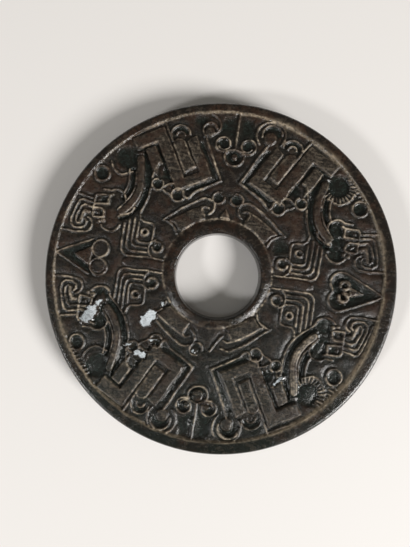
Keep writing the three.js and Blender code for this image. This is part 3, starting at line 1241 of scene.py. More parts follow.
@dataclass(frozen=True)
class CarvedFace:
    """The front: rim, ring and the relief between them.

    Args:
        plan: The disc's circles.
        layout: Where the quadrants lie.
        ground: Depth of the ground close to a figure.
        open_ground: Depth of the ground away from all figures.
        unevenness: How far the edge of a cut strays from its line.
        margin: How far from a figure its influence reaches.
        waves: Height of the broad unevenness of the polish.
        ripples: Height of its fine unevenness.
        glazed: Where the first polish is left whole.
        figures: What is cut into the face.
    """

    BROAD_WEAR = 0.6  # strength of the broad wear against the fine wear
    MEET = 0.05  # how far above and below a band the relief blends into it
    EVENED = 0.6  # how much of the unevenness the glaze takes away

    plan: DiscPlan
    layout: QuadrantLayout = QuadrantLayout()
    ground: float = 1.18
    open_ground: float = 0.78
    unevenness: float = 0.13
    margin: float = 1.6
    waves: float = 0.03
    ripples: float = 0.012
    glazed: tuple[GlazedPatch, ...] = tuple(GlazedPatch(*row) for row in (
        ((-42.8, -13.4), (-46.5, -19.4), 1.5, (0.060, -0.028)),
        ((-45.4, -18.0), (-47.6, -21.4), 2.4, (0.060, -0.028)),
        ((-23.8, -16.6), (-25.6, -19.6), 2.5, (-0.005, -0.022)),
        ((-24.9, -31.8), (-26.9, -31.6), 1.9, (-0.006, 0.022)),
        ((-20.3, -25.6), (-22.3, -26.1), 1.1, (-0.019, 0.002)),
        ((-29.3, -28.6), (-31.2, -28.9), 0.9, (0.008, 0.010)),
        ((-6.0, -27.0), (-6.4, -27.6), 1.1, (-0.065, 0.005)),
        ((-20.5, -9.5), (-20.0, -12.6), 0.8, (0.0, -0.03)),
        ((-3.2, -53.3), (-3.4, -54.6), 0.8, (-0.05, 0.06)),
        ((24.5, -36.0), (27.5, -33.0), 0.9, (-0.16, 0.06)),
    ))
    figures: tuple[Figure, ...] = field(
        default_factory=lambda: tuple(f for motif in MOTIFS for f in motif.figures()))

    def carve(self, x: Array, y: Array, face: Surface) -> Relief:
        """Cuts every figure.

        Args:
            x: Points' places across the disc.
            y: Points' places up the disc.
            face: Takes the creases of the figures' edges.

        Returns:
            What the figures leave of the stone.
        """
        u, v, sign_x, sign_y = self.layout.fold(x, y)
        relief = Relief(x.shape, self.ground)
        stray = self.unevenness * StoneNoise(13, 1.7).at(x, y)
        worn = StoneNoise(14, 1.2).at(x, y) + self.BROAD_WEAR * StoneNoise(15, 3.4).at(x, y)
        for figure in self.figures:
            where = figure.near(u, v, self.margin)
            where = where[figure.cut_here(sign_x[where], sign_y[where])]
            if not where.size:
                continue
            offset, toward_u, toward_v = figure.distance(u[where], v[where])
            offset = offset + stray[where]
            if figure.sinks:
                relief.sink(figure.profile, where, offset)
            else:
                relief.leave(figure, where, offset, worn[where])
            toward_x, toward_y = toward_u * sign_x[where], toward_v * sign_y[where]
            for level in figure.creases:
                face.crease(where, offset - level, toward_x, toward_y)
        return relief

    def glaze(self, x: Array, y: Array, depth: Array) -> tuple[Array, Array]:
        """Flattens the relief where the first polish is left whole.

        Args:
            x: Points' places across the disc.
            y: Points' places up the disc.
            depth: Depth of the relief.

        Returns:
            The new depth, and how far inside a glazed spot each point lies, from 0 to 1.
        """
        gloss = np.zeros(x.shape)
        for patch in self.glazed:
            share = patch.share(x, y)
            depth = depth + share * (patch.depth(x, y, self.open_ground) - depth)
            gloss = np.maximum(gloss, share)
        return depth, gloss

    def survey(self, x: Array, y: Array) -> Surface:
        """Works out the face at some points.

        Args:
            x: Points' places across the disc.
            y: Points' places up the disc.

        Returns:
            The surface there.
        """
        face = Surface.bare(x.shape, BARE_POLISH)
        relief = self.carve(x, y, face)
        depth, gloss = self.glaze(x, y, relief.depth(self.open_ground))
        bands = PlainBands(self.plan)
        band_depth = bands.depth(x, y, self.ground, face)
        on_band = ease(depth - band_depth, -self.MEET, self.MEET)
        depth = np.minimum(depth, band_depth)
        waves = self.waves * StoneNoise(21, 2.4).at(x, y)
        waves = waves + self.ripples * StoneNoise(22, 0.9).at(x, y)
        face.height = self.plan.thickness - depth + waves * (1.0 - self.EVENED * gloss)
        deposit = np.clip(relief.pale, 0.0, 1.0) * (1.0 - on_band)
        seam = RingSeam(self.plan.ring).at(x, y)
        face.deposit = np.maximum(deposit, seam) * (1.0 - gloss)
        face.polish = np.maximum(relief.polish * (1.0 - on_band) + BAND_POLISH * on_band, gloss)
        # Painted shade: the colour mask falls with depth, so the pits and the ground close to the
        # figures are coloured darker the deeper they lie, on top of their own dark stone; on the
        # bands it is a plain tone.
        face.crest = np.clip(1.0 - depth / DEEPEST, 0.0, 1.0)
        face.crest = face.crest + on_band * (bands.crest_at(x, y) - face.crest)
        return face


@dataclass(frozen=True)
class PlainBack:
    """The underside: a flat rim and ring round a shallow plain field.

    Args:
        plan: The disc's circles.
        depth: How deep the field is sunk.
        slope: Width of the step down to it.
        rim_share: Inner edge of the flat rim, in disc radii.
        ring_share: Outer edge of the flat ring, in disc radii.
        dust: Deposit at the foot of the steps, from 0 to 1.
        dust_spread: How far it spreads.
        polish: Gloss of the whole underside.
        waves: Unevenness of the field.
        crest: Value of the colour mask on the field.
        band_crest: What that value gains on the rim and the ring.
    """

    plan: DiscPlan
    depth: float = 0.6
    slope: float = 0.7
    rim_share: float = 0.9
    ring_share: float = 0.346
    dust: float = 0.55
    dust_spread: float = 0.45
    polish: float = 0.35
    waves: float = 0.03
    crest: float = 0.55
    band_crest: float = 0.3

    def survey(self, x: Array, y: Array) -> Surface:
        """Works out the underside at some points.

        Args:
            x: Points' places across the disc.
            y: Points' places up the disc.

        Returns:
            The surface there.
        """
        every = np.arange(x.size)
        face = Surface.bare(x.shape, self.polish)
        rim = Circle(self.plan.rim.centre, self.rim_share * self.plan.radius)
        ring = Circle(self.plan.ring.centre, self.ring_share * self.plan.radius)
        inside, in_x, in_y = rim.offset(x, y)
        past, out_x, out_y = ring.offset(x, y)
        sunk = np.minimum(-inside, past)
        for offset, toward_x, toward_y in ((inside, in_x, in_y), (past, out_x, out_y)):
            for level in (-self.slope / 2, self.slope / 2):
                face.crease(every, offset - level, toward_x, toward_y)
        rise = np.clip(sunk / self.slope + 0.5, 0.0, 1.0)
        flat = 1.0 - rise
        face.height = self.depth * rise + self.waves * StoneNoise(31, 5.0).at(x, y) * rise
        face.deposit = self.dust * np.exp(-((sunk / self.dust_spread) ** 2))
        face.crest = self.crest + self.band_crest * flat
        return face


@dataclass(frozen=True)
class FaceMesher:
    """Spreads points over a face, densest along its creases, and joins them into triangles.

    Args:
        spacing: Distance between points along a crease.
        reaches: How far from a crease points this dense, twice and four times as far apart, go.
    """

    MARGIN = 1.2  # rows on each side of the middle, against the disc's radius in spacings
    CLEAR = 0.4  # how far its points stay off the two rims, in spacings
    STILL_CLEAR = 0.3  # the same once they have moved
    SNAP = 0.5  # how near to a crease a point moves onto it, in spacings
    SAME = 0.4  # points that share a cell of this size are one, in spacings
    WELD = 1e-6  # points closer than this are joined when the triangles are made

    spacing: float
    reaches: tuple[float, float]

    def between(self, plan: DiscPlan, x: Array, y: Array, clear: float) -> Array:
        """Whether points lie between the two rims, clear of both by a number of spacings."""
        clear = clear * self.spacing
        return (plan.edge.offset(x, y)[0] < -clear) & (plan.lip.offset(x, y)[0] > clear)

    def lattice(self, plan: DiscPlan) -> tuple[Array, Array, Array]:
        """A lattice of even triangles over the flat part of a face.

        Args:
            plan: The disc's circles.

        Returns:
            The points' places, and how many times each belongs to a lattice twice as coarse.
        """
        reach = int(plan.radius / self.spacing * self.MARGIN)
        steps = np.arange(-2 * reach, 2 * reach + 1)
        i, j = np.meshgrid(steps, np.arange(-reach, reach + 1), indexing="ij")
        x = (i + j / 2) * self.spacing
        y = j * self.spacing * math.sqrt(3) / 2
        kept = self.between(plan, x, y, self.CLEAR)
        level = np.zeros(i.shape, int)
        for power in (1, 2, 3):
            level += (i % 2**power == 0) & (j % 2**power == 0)
        return x[kept], y[kept], level[kept]

    def spread(self, plan: DiscPlan, survey: Survey) -> Array:
        """Chooses the points and moves those beside a crease onto it.

        Args:
            plan: The disc's circles.
            survey: Works out the face at some points.

        Returns:
            One row for each point.
        """
        x, y, level = self.lattice(plan)
        gap = np.abs(survey(x, y).gap)
        fine, middle = self.reaches
        kept = (level >= 2) | ((level == 1) & (gap < middle)) | (gap < fine)
        x, y = x[kept], y[kept]
        for _ in range(2):
            face = survey(x, y)
            move = np.where(np.abs(face.gap) < self.SNAP * self.spacing, face.gap, 0.0)
            x = x - move * face.shift_x
            y = y - move * face.shift_y
        inside = self.between(plan, x, y, self.STILL_CLEAR)
        points = np.column_stack([x[inside], y[inside]])
        cells = np.round(points / (self.SAME * self.spacing)).astype(int)
        _, first = np.unique(cells, axis=0, return_index=True)
        return points[np.sort(first)]

    def triangles(self, points: Array, inner: range) -> Array:
        """Joins points into triangles, and leaves the hole open.

        Args:
            points: All the points, those of the hole's edge among them.
            inner: Which points lie on the hole's edge.

        Returns:
            Three indices for each triangle, anticlockwise from above.
        """
        flat = [Vector(p) for p in points]
        _, _, faces, origins, _, _ = delaunay_2d_cdt(flat, [], [], 0, self.WELD)
        source = np.array([origin[0] for origin in origins])
        corners = source[np.array(faces)]
        in_hole = ((corners >= inner.start) & (corners < inner.stop)).all(1)
        return corners[~in_hole]


class Stock:
    """Collects points, faces and surface values, and turns them into one mesh."""

    KEPT = ("deposit", "polish", "crest", "ochre")

    def __init__(self) -> None:
        """Starts with nothing."""
        self.places: list[Array] = []
        self.values: dict[str, list[Array]] = {name: [] for name in self.KEPT}
        self.faces: list[Array] = []
        self.count = 0

    def add_points(self, places: Array, **values: Array | float) -> int:
        """Adds points.

        Args:
            places: One row of three millimetres for each point.
            values: The surface values that differ from 0.

        Returns:
            Index of the first of them.
        """
        first = self.count
        self.places.append(places)
        for name in self.KEPT:
            self.values[name].append(np.broadcast_to(values.get(name, 0.0), len(places)))
        self.count += len(places)
        return first

    def add_faces(self, corners: Array) -> None:
        """Adds faces by the indices of their corners."""
        self.faces.append(corners)

    def mesh(self, name: str) -> bpy.types.Mesh:
        """Makes the mesh, in metres.

        Args:
            name: The mesh's name.

        Returns:
            The mesh, with a float attribute for each surface value.
        """
        made = bpy.data.meshes.new(name)
        faces = [tuple(face) for block in self.faces for face in block.tolist()]
        made.from_pydata((np.concatenate(self.places) * MM).tolist(), [], faces)
        for kept in self.KEPT:
            layer = made.attributes.new(kept, "FLOAT", "POINT")
            layer.data.foreach_set("value", np.concatenate(self.values[kept]).astype(np.float32))
        made.validate()
        made.update()
        return made


@dataclass(frozen=True)
class RimDeposit:
    """Sandy deposit in a thin line along the rim's inner edge, and in a few broad patches.

    Args:
        rim: The rim's inner edge.
        patches: Bearings of the broad patches, in degrees.
        painted_shade: Bearing where the line is dimmed most, where the rim's inner slope faces the
            broad light; painted shade.
        painted_light: Bearing where the line is brightest and broadest, where that slope lies in
            shade; painted light.
    """

    PATCH_SPAN = 6.0  # how far a patch spreads along the rim, in degrees
    PAINTED_SHADE_SPAN = 42.0  # the same for the stretch dimmed as painted shade
    PAINTED_LIGHT_SPAN = 26.0  # the same for the stretch brightened as painted light
    HELD = (0.7, 0.3)  # how much the line holds, and how far that strays
    PAINTED_SHADE_LOSS = 0.62  # how much of it is taken away where it is dimmed most, as painted shade
    PAINTED_LIGHT_GAIN = 0.4  # how much it gains, and broadens, where it is brightened most, as painted light
    LINE = (0.1, 0.3)  # how far outside the edge the line lies, and how far it spreads
    WAVER = 0.2  # how far it strays from a true circle
    PATCH = (0.2, 0.8)  # the same two distances for a patch
    PATCH_HELD = (0.5, 0.4)  # how much a patch holds, and how far that strays

    rim: Circle
    patches: tuple[float, ...] = (20.0, 55.0, 75.0, 208.0, 330.0)
    painted_shade: float = 145.0
    painted_light: float = 325.0

    @staticmethod
    def near(angle: Array, bearing: float, span: float) -> Array:
        """Closeness of some angles to a bearing, from 0 to 1."""
        return np.exp(-((((angle - bearing + 180) % 360 - 180) / span) ** 2))

    def thin_line(self, x: Array, y: Array, outside: Array, angle: Array) -> Array:
        """The line's deposit at some points.

        Args:
            x: Points' places across the disc.
            y: Points' places up the disc.
            outside: Their distances outside the rim's inner edge.
            angle: Their bearings, in degrees.

        Returns:
            The deposit, from 0 to 1.
        """
        # Painted light and shade on a real deposit line: the line is made paler and broader where
        # the rim's slope lies in shade, and fainter where the broad light falls on it.
        painted_light = self.near(angle, self.painted_light, self.PAINTED_LIGHT_SPAN)
        painted_shade = self.near(angle, self.painted_shade, self.PAINTED_SHADE_SPAN)
        most, stray = self.HELD
        held = most + stray * StoneNoise(25, 9.0).at(x, y) - self.PAINTED_SHADE_LOSS * painted_shade
        held = np.clip(held + self.PAINTED_LIGHT_GAIN * painted_light, 0.0, 1.0)
        waver = self.WAVER * StoneNoise(24, 3.5).at(x, y)
        middle, spread = self.LINE
        return held * np.exp(
            -(((outside - middle + waver) / (spread + self.PAINTED_LIGHT_GAIN * painted_light)) ** 2))

    def broad_patches(self, x: Array, y: Array, outside: Array, angle: Array) -> Array:
        """The patches' deposit at some points.

        Args:
            x: Points' places across the disc.
            y: Points' places up the disc.
            outside: Their distances outside the rim's inner edge.
            angle: Their bearings, in degrees.

        Returns:
            The deposit, from 0 to 1.
        """
        patches = np.max([self.near(angle, p, self.PATCH_SPAN) for p in self.patches], axis=0)
        middle, spread = self.PATCH
        broad = patches * np.exp(-(((outside - middle) / spread) ** 2))
        most, stray = self.PATCH_HELD
        return broad * (most + stray * StoneNoise(41, 1.6).at(x, y))

    def at(self, x: Array, y: Array) -> Array:
        """The deposit at some points.

        Args:
            x: Points' places across the disc.
            y: Points' places up the disc.

        Returns:
            The deposit, from 0 to 1.
        """
        outside, _, _ = self.rim.offset(x, y)
        angle = np.degrees(np.arctan2(y, x))
        thin = self.thin_line(x, y, outside, angle)
        return np.clip(np.maximum(thin, self.broad_patches(x, y, outside, angle)), 0.0, 1.0)


@dataclass(frozen=True)
class DressedDisc:
    """The whole stone as one closed mesh.

    Args:
        plan: The disc's circles.
        front_mesher: Spreads the points of the carved face.
        back_mesher: Spreads the points of the underside.
        edge_points: Points round the disc's edge.
        lip_points: Points round the hole.
        side_polish: Gloss of the disc's edge and the hole's wall.
        bulge: How far the disc's edge stands out halfway down.
        lip_rounding: How far in and down each point of the hole's rounded edge lies, in chamfers.
    """

    plan: DiscPlan
    front_mesher: FaceMesher = FaceMesher(spacing=0.286, reaches=(0.2, 0.75))
    back_mesher: FaceMesher = FaceMesher(spacing=0.7, reaches=(0.4, 1.2))
    edge_points: int = 480
    lip_points: int = 192
    side_polish: float = 0.55
    bulge: float = 0.02
    lip_rounding: tuple[Point, ...] = ((0.35, 0.12), (0.8, 0.5), (1.0, 1.2))

    def face(self, stock: Stock, survey: Survey, mesher: FaceMesher, up: bool) -> tuple[int, int]:
        """Adds the front or the underside.

        Args:
            stock: Takes the points and triangles.
            survey: Works out the face at some points.
            mesher: Spreads its points.
            up: True for the front.

        Returns:
            Index of the first point on the outer edge, and of the first on the hole's edge.
        """
        plan = self.plan
        rims = [plan.edge.points(self.edge_points), plan.lip.points(self.lip_points)]
        points = np.vstack([*rims, mesher.spread(plan, survey)])
        x, y = points[:, 0], points[:, 1]
        known = survey(x, y)
        inner = range(self.edge_points, self.edge_points + self.lip_points)
        corners = mesher.triangles(points, inner)
        places = np.column_stack([points, known.height])
        stain = RimDeposit(plan.rim).at(x, y) if up else 0.0
        first = stock.add_points(places, deposit=known.deposit, polish=known.polish,
                                 crest=known.crest, ochre=stain)
        stock.add_faces(first + (corners if up else corners[:, ::-1]))
        side = "front" if up else "under"
        log.info("%s face: %d points, %d triangles", side, len(points), len(corners))
        return first, first + self.edge_points

    def wall(self, stock: Stock, circle_at: Circle, profile: list[Point], top: int, bottom: int,
             count: int, outward: bool) -> None:
        """Joins the two faces round a circle.

        Args:
            stock: Takes the points and faces.
            circle_at: The circle where both faces end.
            profile: How far outward and how high each ring between them lies.
            top: First point of the front's edge.
            bottom: First point of the underside's edge.
            count: Points round the circle.
            outward: True for the disc's edge, false for the hole.
        """
        rings = [np.arange(top, top + count)]
        for reach, height in profile:
            ring = Circle(circle_at.centre, circle_at.radius + reach).points(count)
            places = np.column_stack([ring, np.full(count, height)])
            first = stock.add_points(places, polish=self.side_polish, crest=GROUND_TONE_AND_SHADE)
            rings.append(np.arange(first, first + count))
        rings.append(np.arange(bottom, bottom + count))
        for upper, lower in zip(rings, rings[1:]):
            corners = np.column_stack([upper, lower, np.roll(lower, -1), np.roll(upper, -1)])
            stock.add_faces(corners if outward else corners[:, ::-1])

    def whole_wall(self, rounding: Path, middle: Path) -> Path:
        """Profile of a wall from its rounding, given as outward and down, at both ends.

        Args:
            rounding: The rounding, from the front down.
            middle: Outward and height of the points between the roundings.

        Returns:
            Outward and height of each point, from the front to the underside.
        """
        front = [(reach, self.plan.thickness - drop) for reach, drop in rounding]
        return [*front, *middle, *reversed(rounding)]

    def build(self) -> bpy.types.Object:
        """Makes the dressed disc.

        Returns:
            The object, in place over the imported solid.
        """
        stock = Stock()
        front = self.face(stock, CarvedFace(self.plan).survey, self.front_mesher, True)
        under = self.face(stock, PlainBack(self.plan).survey, self.back_mesher, False)
        plan = self.plan
        quarter_turn = [polar((0.0, plan.shoulder), plan.shoulder, a - 90)
                        for a in (22.5, 45, 67.5, 90)]
        middle = [(plan.shoulder + self.bulge, plan.thickness / 2)]
        edge = self.whole_wall(quarter_turn, middle)
        self.wall(stock, plan.edge, edge, front[0], under[0], self.edge_points, True)
        lip = [(-reach * plan.chamfer, drop * plan.chamfer) for reach, drop in self.lip_rounding]
        wall = self.whole_wall(lip, [])
        self.wall(stock, plan.lip, wall, front[1], under[1], self.lip_points, False)
        mesh = stock.mesh(PIECE)
        piece = bpy.data.objects.new(PIECE, mesh)
        bpy.context.scene.collection.objects.link(piece)
        for polygon in mesh.polygons:
            polygon.use_smooth = True
        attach(piece, BODY)
        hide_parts(NODE)
        log.info("%s: %d points, %d faces", PIECE, len(mesh.vertices), len(mesh.polygons))
        return piece


# --- finishes

Socket = bpy.types.NodeSocket


class Board:
    """Lays out the nodes of one material."""

    def __init__(self, name: str) -> None:
        """Starts a material with a bare surface shader.

        Args:
            name: The material's name.
        """
        self.material = bpy.data.materials.new(name)
        self.material.use_nodes = True
        self.nodes = self.material.node_tree.nodes
        self.links = self.material.node_tree.links
        self.shader = self.nodes["Principled BSDF"]

    def join(self, source: Socket | float, socket: Socket) -> None:
        """Links a source to a socket, or sets a plain value on it.

        Args:
            source: What is linked, or the plain value.
            socket: The socket that takes it.
        """
        if isinstance(source, Socket):
            self.links.new(source, socket)
        else:
            socket.default_value = source

    def mask(self, name: str) -> Socket:
        """A surface value kept on the mesh.

        Args:
            name: The value's name.

        Returns:
            The value at each point.
        """
        node = self.nodes.new("ShaderNodeAttribute")
        node.attribute_name = name
        return node.outputs["Fac"]

    def upward(self) -> Socket:
        """How far up the disc a point lies.

        Returns:
            The distance, in metres.
        """
        place = self.nodes.new("ShaderNodeTexCoord")
        parts = self.nodes.new("ShaderNodeSeparateXYZ")
        self.links.new(place.outputs["Object"], parts.inputs["Vector"])
        return parts.outputs["Y"]

    def noise(self, cell: float, detail: float = 4.0, roughness: float = 0.55,
              stretch: tuple[float, float, float] = (1.0, 1.0, 1.0)) -> Socket:
        """Cloudy noise.

        Args:
            cell: Size of its blots, in millimetres.
            detail: Octaves of finer noise in it.
            roughness: Strength of the finer octaves.
            stretch: How much denser it is along each axis.

        Returns:
            The noise, from 0 to 1.
        """
        place = self.nodes.new("ShaderNodeTexCoord")
        scale = self.nodes.new("ShaderNodeMapping")
        scale.inputs["Scale"].default_value = stretch
        node = self.nodes.new("ShaderNodeTexNoise")
        node.inputs["Scale"].default_value = 1.0 / (cell * MM)
        node.inputs["Detail"].default_value = detail
        node.inputs["Roughness"].default_value = roughness
        self.links.new(place.outputs["Object"], scale.inputs["Vector"])
        self.links.new(scale.outputs["Vector"], node.inputs["Vector"])
        return node.outputs["Fac"]

    def span(self, source: Socket, low: float, high: float,
             to_low: float = 0.0, to_high: float = 1.0) -> Socket:
        """Stretches a range of a value onto another range, smoothly.

        Args:
            source: The value.
            low: Low end of its range.
            high: High end of its range.
            to_low: What the low end becomes.
            to_high: What the high end becomes.

        Returns:
            The stretched value.
        """
        node = self.nodes.new("ShaderNodeMapRange")
        node.interpolation_type = "SMOOTHSTEP"
        self.join(source, node.inputs["Value"])
        ends = {"From Min": low, "From Max": high, "To Min": to_low, "To Max": to_high}
        for socket, value in ends.items():
            node.inputs[socket].default_value = value
        return node.outputs["Result"]

    def number(self, how: str, first: Socket | float, second: Socket | float) -> Socket:
        """Works out one number from two, held between 0 and 1.

        Args:
            how: The operation's name.
            first: One number.
            second: The other number.

        Returns:
            The result.
        """
        node = self.nodes.new("ShaderNodeMath")
        node.operation = how
        node.use_clamp = True
        self.join(first, node.inputs[0])
        self.join(second, node.inputs[1])
        return node.outputs["Value"]

    def times(self, first: Socket | float, second: Socket | float) -> Socket:
        """The product of two numbers."""
        return self.number("MULTIPLY", first, second)

    def plus(self, first: Socket | float, second: Socket | float) -> Socket:
        """Two numbers together."""
        return self.number("ADD", first, second)

    def blend(self, share: Socket | float, first: Socket | Colour,
              second: Socket | Colour) -> Socket:
        """Mixes two colours.

        Args:
            share: How much there is of the second, from 0 to 1.
            first: The colour at 0.
            second: The colour at 1.

        Returns:
            The mixed colour.
        """
        node = self.nodes.new("ShaderNodeMix")
        node.data_type = "RGBA"
        self.join(share, node.inputs["Factor"])
        for socket, colour in ((node.inputs[6], first), (node.inputs[7], second)):
            linked = isinstance(colour, Socket)
            self.join(colour if linked else (*colour, 1.0), socket)
        return node.outputs[2]

    def bump(self, height: Socket, depth: float, share: Socket,
             below: Socket | None = None) -> Socket:
        """Fine relief too small for the mesh.

        Args:
            height: The relief, from 0 to 1.
            depth: Its depth, in millimetres.
            share: How much of it is left, from 0 to 1.
            below: A coarser bump that it lies on.

        Returns:
            The bent normal.
        """
        node = self.nodes.new("ShaderNodeBump")
        node.inputs["Distance"].default_value = depth * MM
        self.join(height, node.inputs["Height"])
        self.join(share, node.inputs["Strength"])
        if below is not None:
            self.join(below, node.inputs["Normal"])
        return node.outputs["Normal"]


class JadeGrain:
    """The noises that colour and roughen the stone, from broad to fine."""

    def __init__(self, board: Board) -> None:
        """Lays out the noises on a board.

        Args:
            board: Takes the nodes.
        """
        self.region = board.noise(11.0, 2.0)
        self.cloud = board.noise(7.0, 5.0)
        self.worn = board.noise(2.6, 6.0, 0.7, (1.0, 1.6, 1.0))
        self.streak = board.noise(1.2, 5.0, 0.65, (0.35, 1.6, 1.0))
        self.fleck = board.noise(1.1, 6.0, 0.7)
        self.fine = board.noise(0.35, 3.0, 0.6)


@dataclass(frozen=True)
class JadeFinish:
    """Dark nephrite with buff deposit along the carving and polished hollows.

    Args:
        name: The material's name.
        stone: Colour of the plain bands.
        dusty: Colour of the raised tops.
        hollow: Colour of the pits and of dark flecks, also laid on deep ground as painted shade.
        mossy: Colour of the pits' paler flecks.
        russet: Colour of the warm veins.
        cool: Colour of the plain stone toward the lower side.
        buff: Colour of the deposit.
        tan: Colour of the deposit where it is stained.
        ochre: Colour of the sandy deposit on the rim.
        sheen: Specular level of the stone.
        glaze: Specular level of the glazed patches.
        refraction: Index of refraction.
    """

    name: str = "jade"
    stone: Colour = (0.0108, 0.0078, 0.0061)
    dusty: Colour = (0.090, 0.073, 0.054)
    hollow: Colour = (0.0046, 0.0047, 0.0034)
    mossy: Colour = (0.0110, 0.0172, 0.0142)
    russet: Colour = (0.030, 0.0150, 0.0090)
    cool: Colour = (0.0068, 0.0088, 0.0068)
    buff: Colour = (0.50, 0.415, 0.305)
    tan: Colour = (0.34, 0.265, 0.195)
    ochre: Colour = (0.37, 0.30, 0.215)
    sheen: float = 0.34
    glaze: float = 1.0
    refraction: float = 1.6

    def stone_colour(self, board: Board, grain: JadeGrain, crest: Socket) -> Socket:
        """Colour of the stone under its deposit.

        Args:
            board: Takes the nodes.
            grain: The stone's noises.
            crest: Where the tops and the pits are; its low values paint shade into the deep parts.

        Returns:
            The colour.
        """
        span, times, blend = board.span, board.times, board.blend
        regional = span(grain.region, 0.40, 0.56, 0.35, 1.0)
        lower = times(span(board.upward(), 0.012, -0.05), regional)
        colour = blend(span(grain.cloud, 0.44, 0.62, 0.0, 0.9), self.stone, self.russet)
        colour = blend(lower, colour, self.cool)
        colour = blend(span(grain.worn, 0.50, 0.60, 0.0, 0.26), colour, self.dusty)
        colour = blend(span(grain.fleck, 0.50, 0.36, 0.0, 0.8), colour, self.hollow)
        streaked = span(grain.streak, 0.44, 0.56, 0.12, 1.0)
        dust = times(span(grain.fleck, 0.45, 0.56, 0.15, 1.0), streaked)
        dust = times(dust, span(grain.cloud, 0.58, 0.42, 0.25, 1.0))
        colour = blend(times(span(crest, 0.62, 0.86), dust), colour, self.dusty)
        # Painted shade: the lower the colour mask, the more the dark pit colour takes over, in the
        # pits and on the deep ground beside the figures.
        deep = blend(span(grain.fleck, 0.42, 0.62), self.hollow, self.mossy)
        return blend(span(crest, 0.20, 0.60, 1.0, 0.0), colour, deep)

    def held(self, board: Board, grain: JadeGrain) -> Socket:
        """How much deposit is held in the carving, broken up by wear.

        Args:
            board: Takes the nodes.
            grain: The stone's noises.

        Returns:
            The deposit, from 0 to 1.
        """
        flecked = board.span(grain.fleck, 0.40, 0.55, 0.30, 1.0)
        patchy = board.times(board.span(grain.worn, 0.41, 0.57, 0.12, 1.0), flecked)
        patchy = board.times(patchy, board.span(grain.region, 0.38, 0.56, 0.36, 1.0))
        return board.times(board.mask("deposit"), patchy)

    def relief(self, board: Board, grain: JadeGrain, polish: Socket) -> Socket:
        """The fine relief, which the best polish takes away.

        Args:
            board: Takes the nodes.
            grain: The stone's noises.
            polish: How glossy the stone is left.

        Returns:
            The bent normal.
        """
        unpolished = board.span(polish, 0.4, 1.0, 1.0, 0.06)
        coarse = board.bump(grain.worn, 0.22, unpolished)
        middle = board.bump(grain.fleck, 0.10, unpolished, coarse)
        return board.bump(grain.fine, 0.015, unpolished, middle)

    def material(self) -> bpy.types.Material:
        """Makes the node material.

        Returns:
            The material.
        """
        board = Board(self.name)
        grain = JadeGrain(board)
        polish = board.mask("polish")
        held = self.held(board, grain)
        deposit = board.blend(board.span(grain.region, 0.62, 0.44), self.buff, self.tan)
        stone = self.stone_colour(board, grain, board.mask("crest"))
        stained = board.times(board.mask("ochre"), board.span(grain.fleck, 0.38, 0.54, 0.35, 1.0))
        colour = board.blend(stained, board.blend(held, stone, deposit), self.ochre)
        rough = board.plus(board.span(polish, 0.0, 1.0, 0.26, 0.09), board.times(held, 0.4))
        rough = board.plus(rough, board.span(grain.fine, 0.3, 0.8, 0.0, 0.10))
        shader = board.shader.inputs
        board.join(colour, shader["Base Color"])
        board.join(rough, shader["Roughness"])
        board.join(self.relief(board, grain, polish), shader["Normal"])
        shader["Specular IOR Level"].default_value = self.sheen
        gloss = board.span(polish, 0.85, 1.0, self.sheen, self.glaze)
        board.join(gloss, shader["Specular IOR Level"])
        shader["IOR"].default_value = self.refraction
        return board.material


@dataclass(frozen=True)
class PaleBoardFinish:
    """The plain pale surface under the disc.

    Args:
        name: The material's name.
        colour: Its colour.
        roughness: How rough it is, from 0 to 1.
        sheen: Its specular level.
    """

    name: str = "pale_board"
    colour: Colour = (0.80, 0.779, 0.762)
    roughness: float = 0.7
    sheen: float = 0.2

    def material(self) -> bpy.types.Material:
        """Makes the node material.

        Returns:
            The material.
        """
        board = Board(self.name)
        board.join((*self.colour, 1.0), board.shader.inputs["Base Color"])
        board.shader.inputs["Roughness"].default_value = self.roughness
        board.shader.inputs["Specular IOR Level"].default_value = self.sheen
        return board.material


# --- studio


@dataclass(frozen=True)
class SoftLight:
    """A round soft light aimed at the disc.

    Args:
        name: The light's name.
        bearing: Direction that it stands in, in degrees from the picture's right.
        lift: Its angle above the table, in degrees.
        distance: How far away it stands, in metres.
        size: Width of its face, in metres.
        power: Its power, in watts.
        colour: Its colour.
    """

    name: str
    bearing: float
    lift: float
    distance: float
    size: float
    power: float
    colour: Colour = (1.0, 1.0, 1.0)

    def build(self, centre: Vector, roll: float) -> bpy.types.Object:
        """Makes the light.

        Args:
            centre: What it aims at.
            roll: How far the picture is turned against the disc, in degrees.

        Returns:
            The light.
        """
        lamp = bpy.data.lights.new(self.name, "AREA")
        lamp.shape = "DISK"
        lamp.size = self.size
        lamp.energy = self.power
        lamp.color = self.colour
        light = bpy.data.objects.new(self.name, lamp)
        lift = math.radians(self.lift)
        away = Vector((*polar((0.0, 0.0), math.cos(lift), self.bearing + roll), math.sin(lift)))
        light.location = centre + away * self.distance
        light.rotation_euler = away.to_track_quat("Z", "Y").to_euler()
        bpy.context.scene.collection.objects.link(light)
        return light


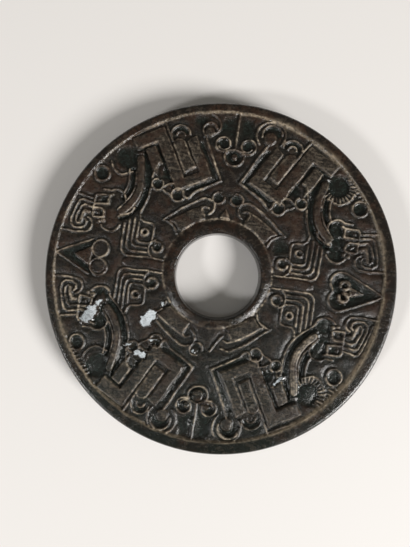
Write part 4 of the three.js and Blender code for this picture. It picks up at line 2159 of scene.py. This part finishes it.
@dataclass(frozen=True)
class Studio:
    """Floor, lights, sky and camera, all placed from the disc's box.

    Args:
        roll: How far the camera is turned about its own axis, in degrees.
        aim: Where the camera aims, right and up of the disc's centre, in disc widths.
        frame_height: Height of the picture, in disc widths.
        camera_distance: Distance from the disc's top, in metres.
        film: Length of the camera's film on its long side, in millimetres.
        clip: Nearest and farthest distance that the camera sees, in metres.
        floor_reach: How far the floor extends each way, in metres.
        sky: Colour of the light from all round.
        lights: The lights.
    """

    roll: float = 8.0
    aim: Point = (-0.0456, 0.0150)
    frame_height: float = 1.5440
    camera_distance: float = 0.152
    film: float = 36.0
    clip: tuple[float, float] = (0.01, 50.0)
    floor_reach: float = 1.5
    sky: Colour = (0.160, 0.152, 0.136)
    lights: tuple[SoftLight, ...] = (
        SoftLight("broad_light", -36.5, 29.9, 2.00, 0.73, 57.5, (1.0, 0.985, 0.965)),
        SoftLight("narrow_light", -143.0, 32.5, 1.40, 0.22, 7.2, (1.0, 0.99, 0.98)),
        SoftLight("ceiling_light", -135.0, 77.7, 1.40, 0.171, 0.56, (0.90, 0.97, 1.0)),
    )

    def turned(self, right: float, up: float) -> Vector:
        """A step in the picture's own directions, as a step of the disc's frame."""
        cos, sin = polar((0.0, 0.0), 1.0, self.roll)
        return Vector((right * cos - up * sin, right * sin + up * cos, 0.0))

    def camera(self, low: Vector, high: Vector) -> None:
        """Hangs the camera straight over the disc.

        Args:
            low: Lower corner of the disc's box.
            high: Its upper corner.
        """
        width = high.x - low.x
        centre = (low + high) / 2
        lens = bpy.data.cameras.new("camera")
        lens.sensor_width = self.film
        lens.lens = self.film * self.camera_distance / (self.frame_height * width)
        lens.clip_start, lens.clip_end = self.clip
        camera = bpy.data.objects.new("camera", lens)
        camera.location = Vector((centre.x, centre.y, high.z + self.camera_distance)) + self.turned(
            self.aim[0] * width, self.aim[1] * width)
        camera.rotation_euler = (0.0, 0.0, math.radians(self.roll))
        bpy.context.scene.collection.objects.link(camera)
        bpy.context.scene.camera = camera

    def floor(self, low: Vector) -> None:
        """Lays the pale board under the disc.

        Args:
            low: Lower corner of the disc's box.
        """
        half = self.floor_reach
        mesh = bpy.data.meshes.new("floor")
        square = ((-half, -half), (half, -half), (half, half), (-half, half))
        corners = [(*corner, low.z) for corner in square]
        mesh.from_pydata(corners, [], [(0, 1, 2, 3)])
        board = bpy.data.objects.new("floor", mesh)
        mesh.materials.append(PaleBoardFinish().material())
        bpy.context.scene.collection.objects.link(board)

    def build(self) -> None:
        """Sets up the whole studio."""
        low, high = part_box(NODE)
        self.camera(low, high)
        self.floor(low)
        centre = (low + high) / 2
        for light in self.lights:
            light.build(centre, self.roll)
        world = bpy.data.worlds.new("sky")
        world.use_nodes = True
        world.node_tree.nodes["Background"].inputs["Color"].default_value = (*self.sky, 1.0)
        bpy.context.scene.world = world
        bpy.context.scene.view_settings.view_transform = "Standard"
        log.info("studio: %d lights, camera %.3f m up", len(self.lights), self.camera_distance)


def main() -> None:
    """Builds the disc and its studio."""
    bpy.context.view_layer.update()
    Studio().build()
    disc = DressedDisc(DiscPlan.from_frame()).build()
    disc.data.materials.append(JadeFinish().material())


if __name__ == "__main__":
    main()
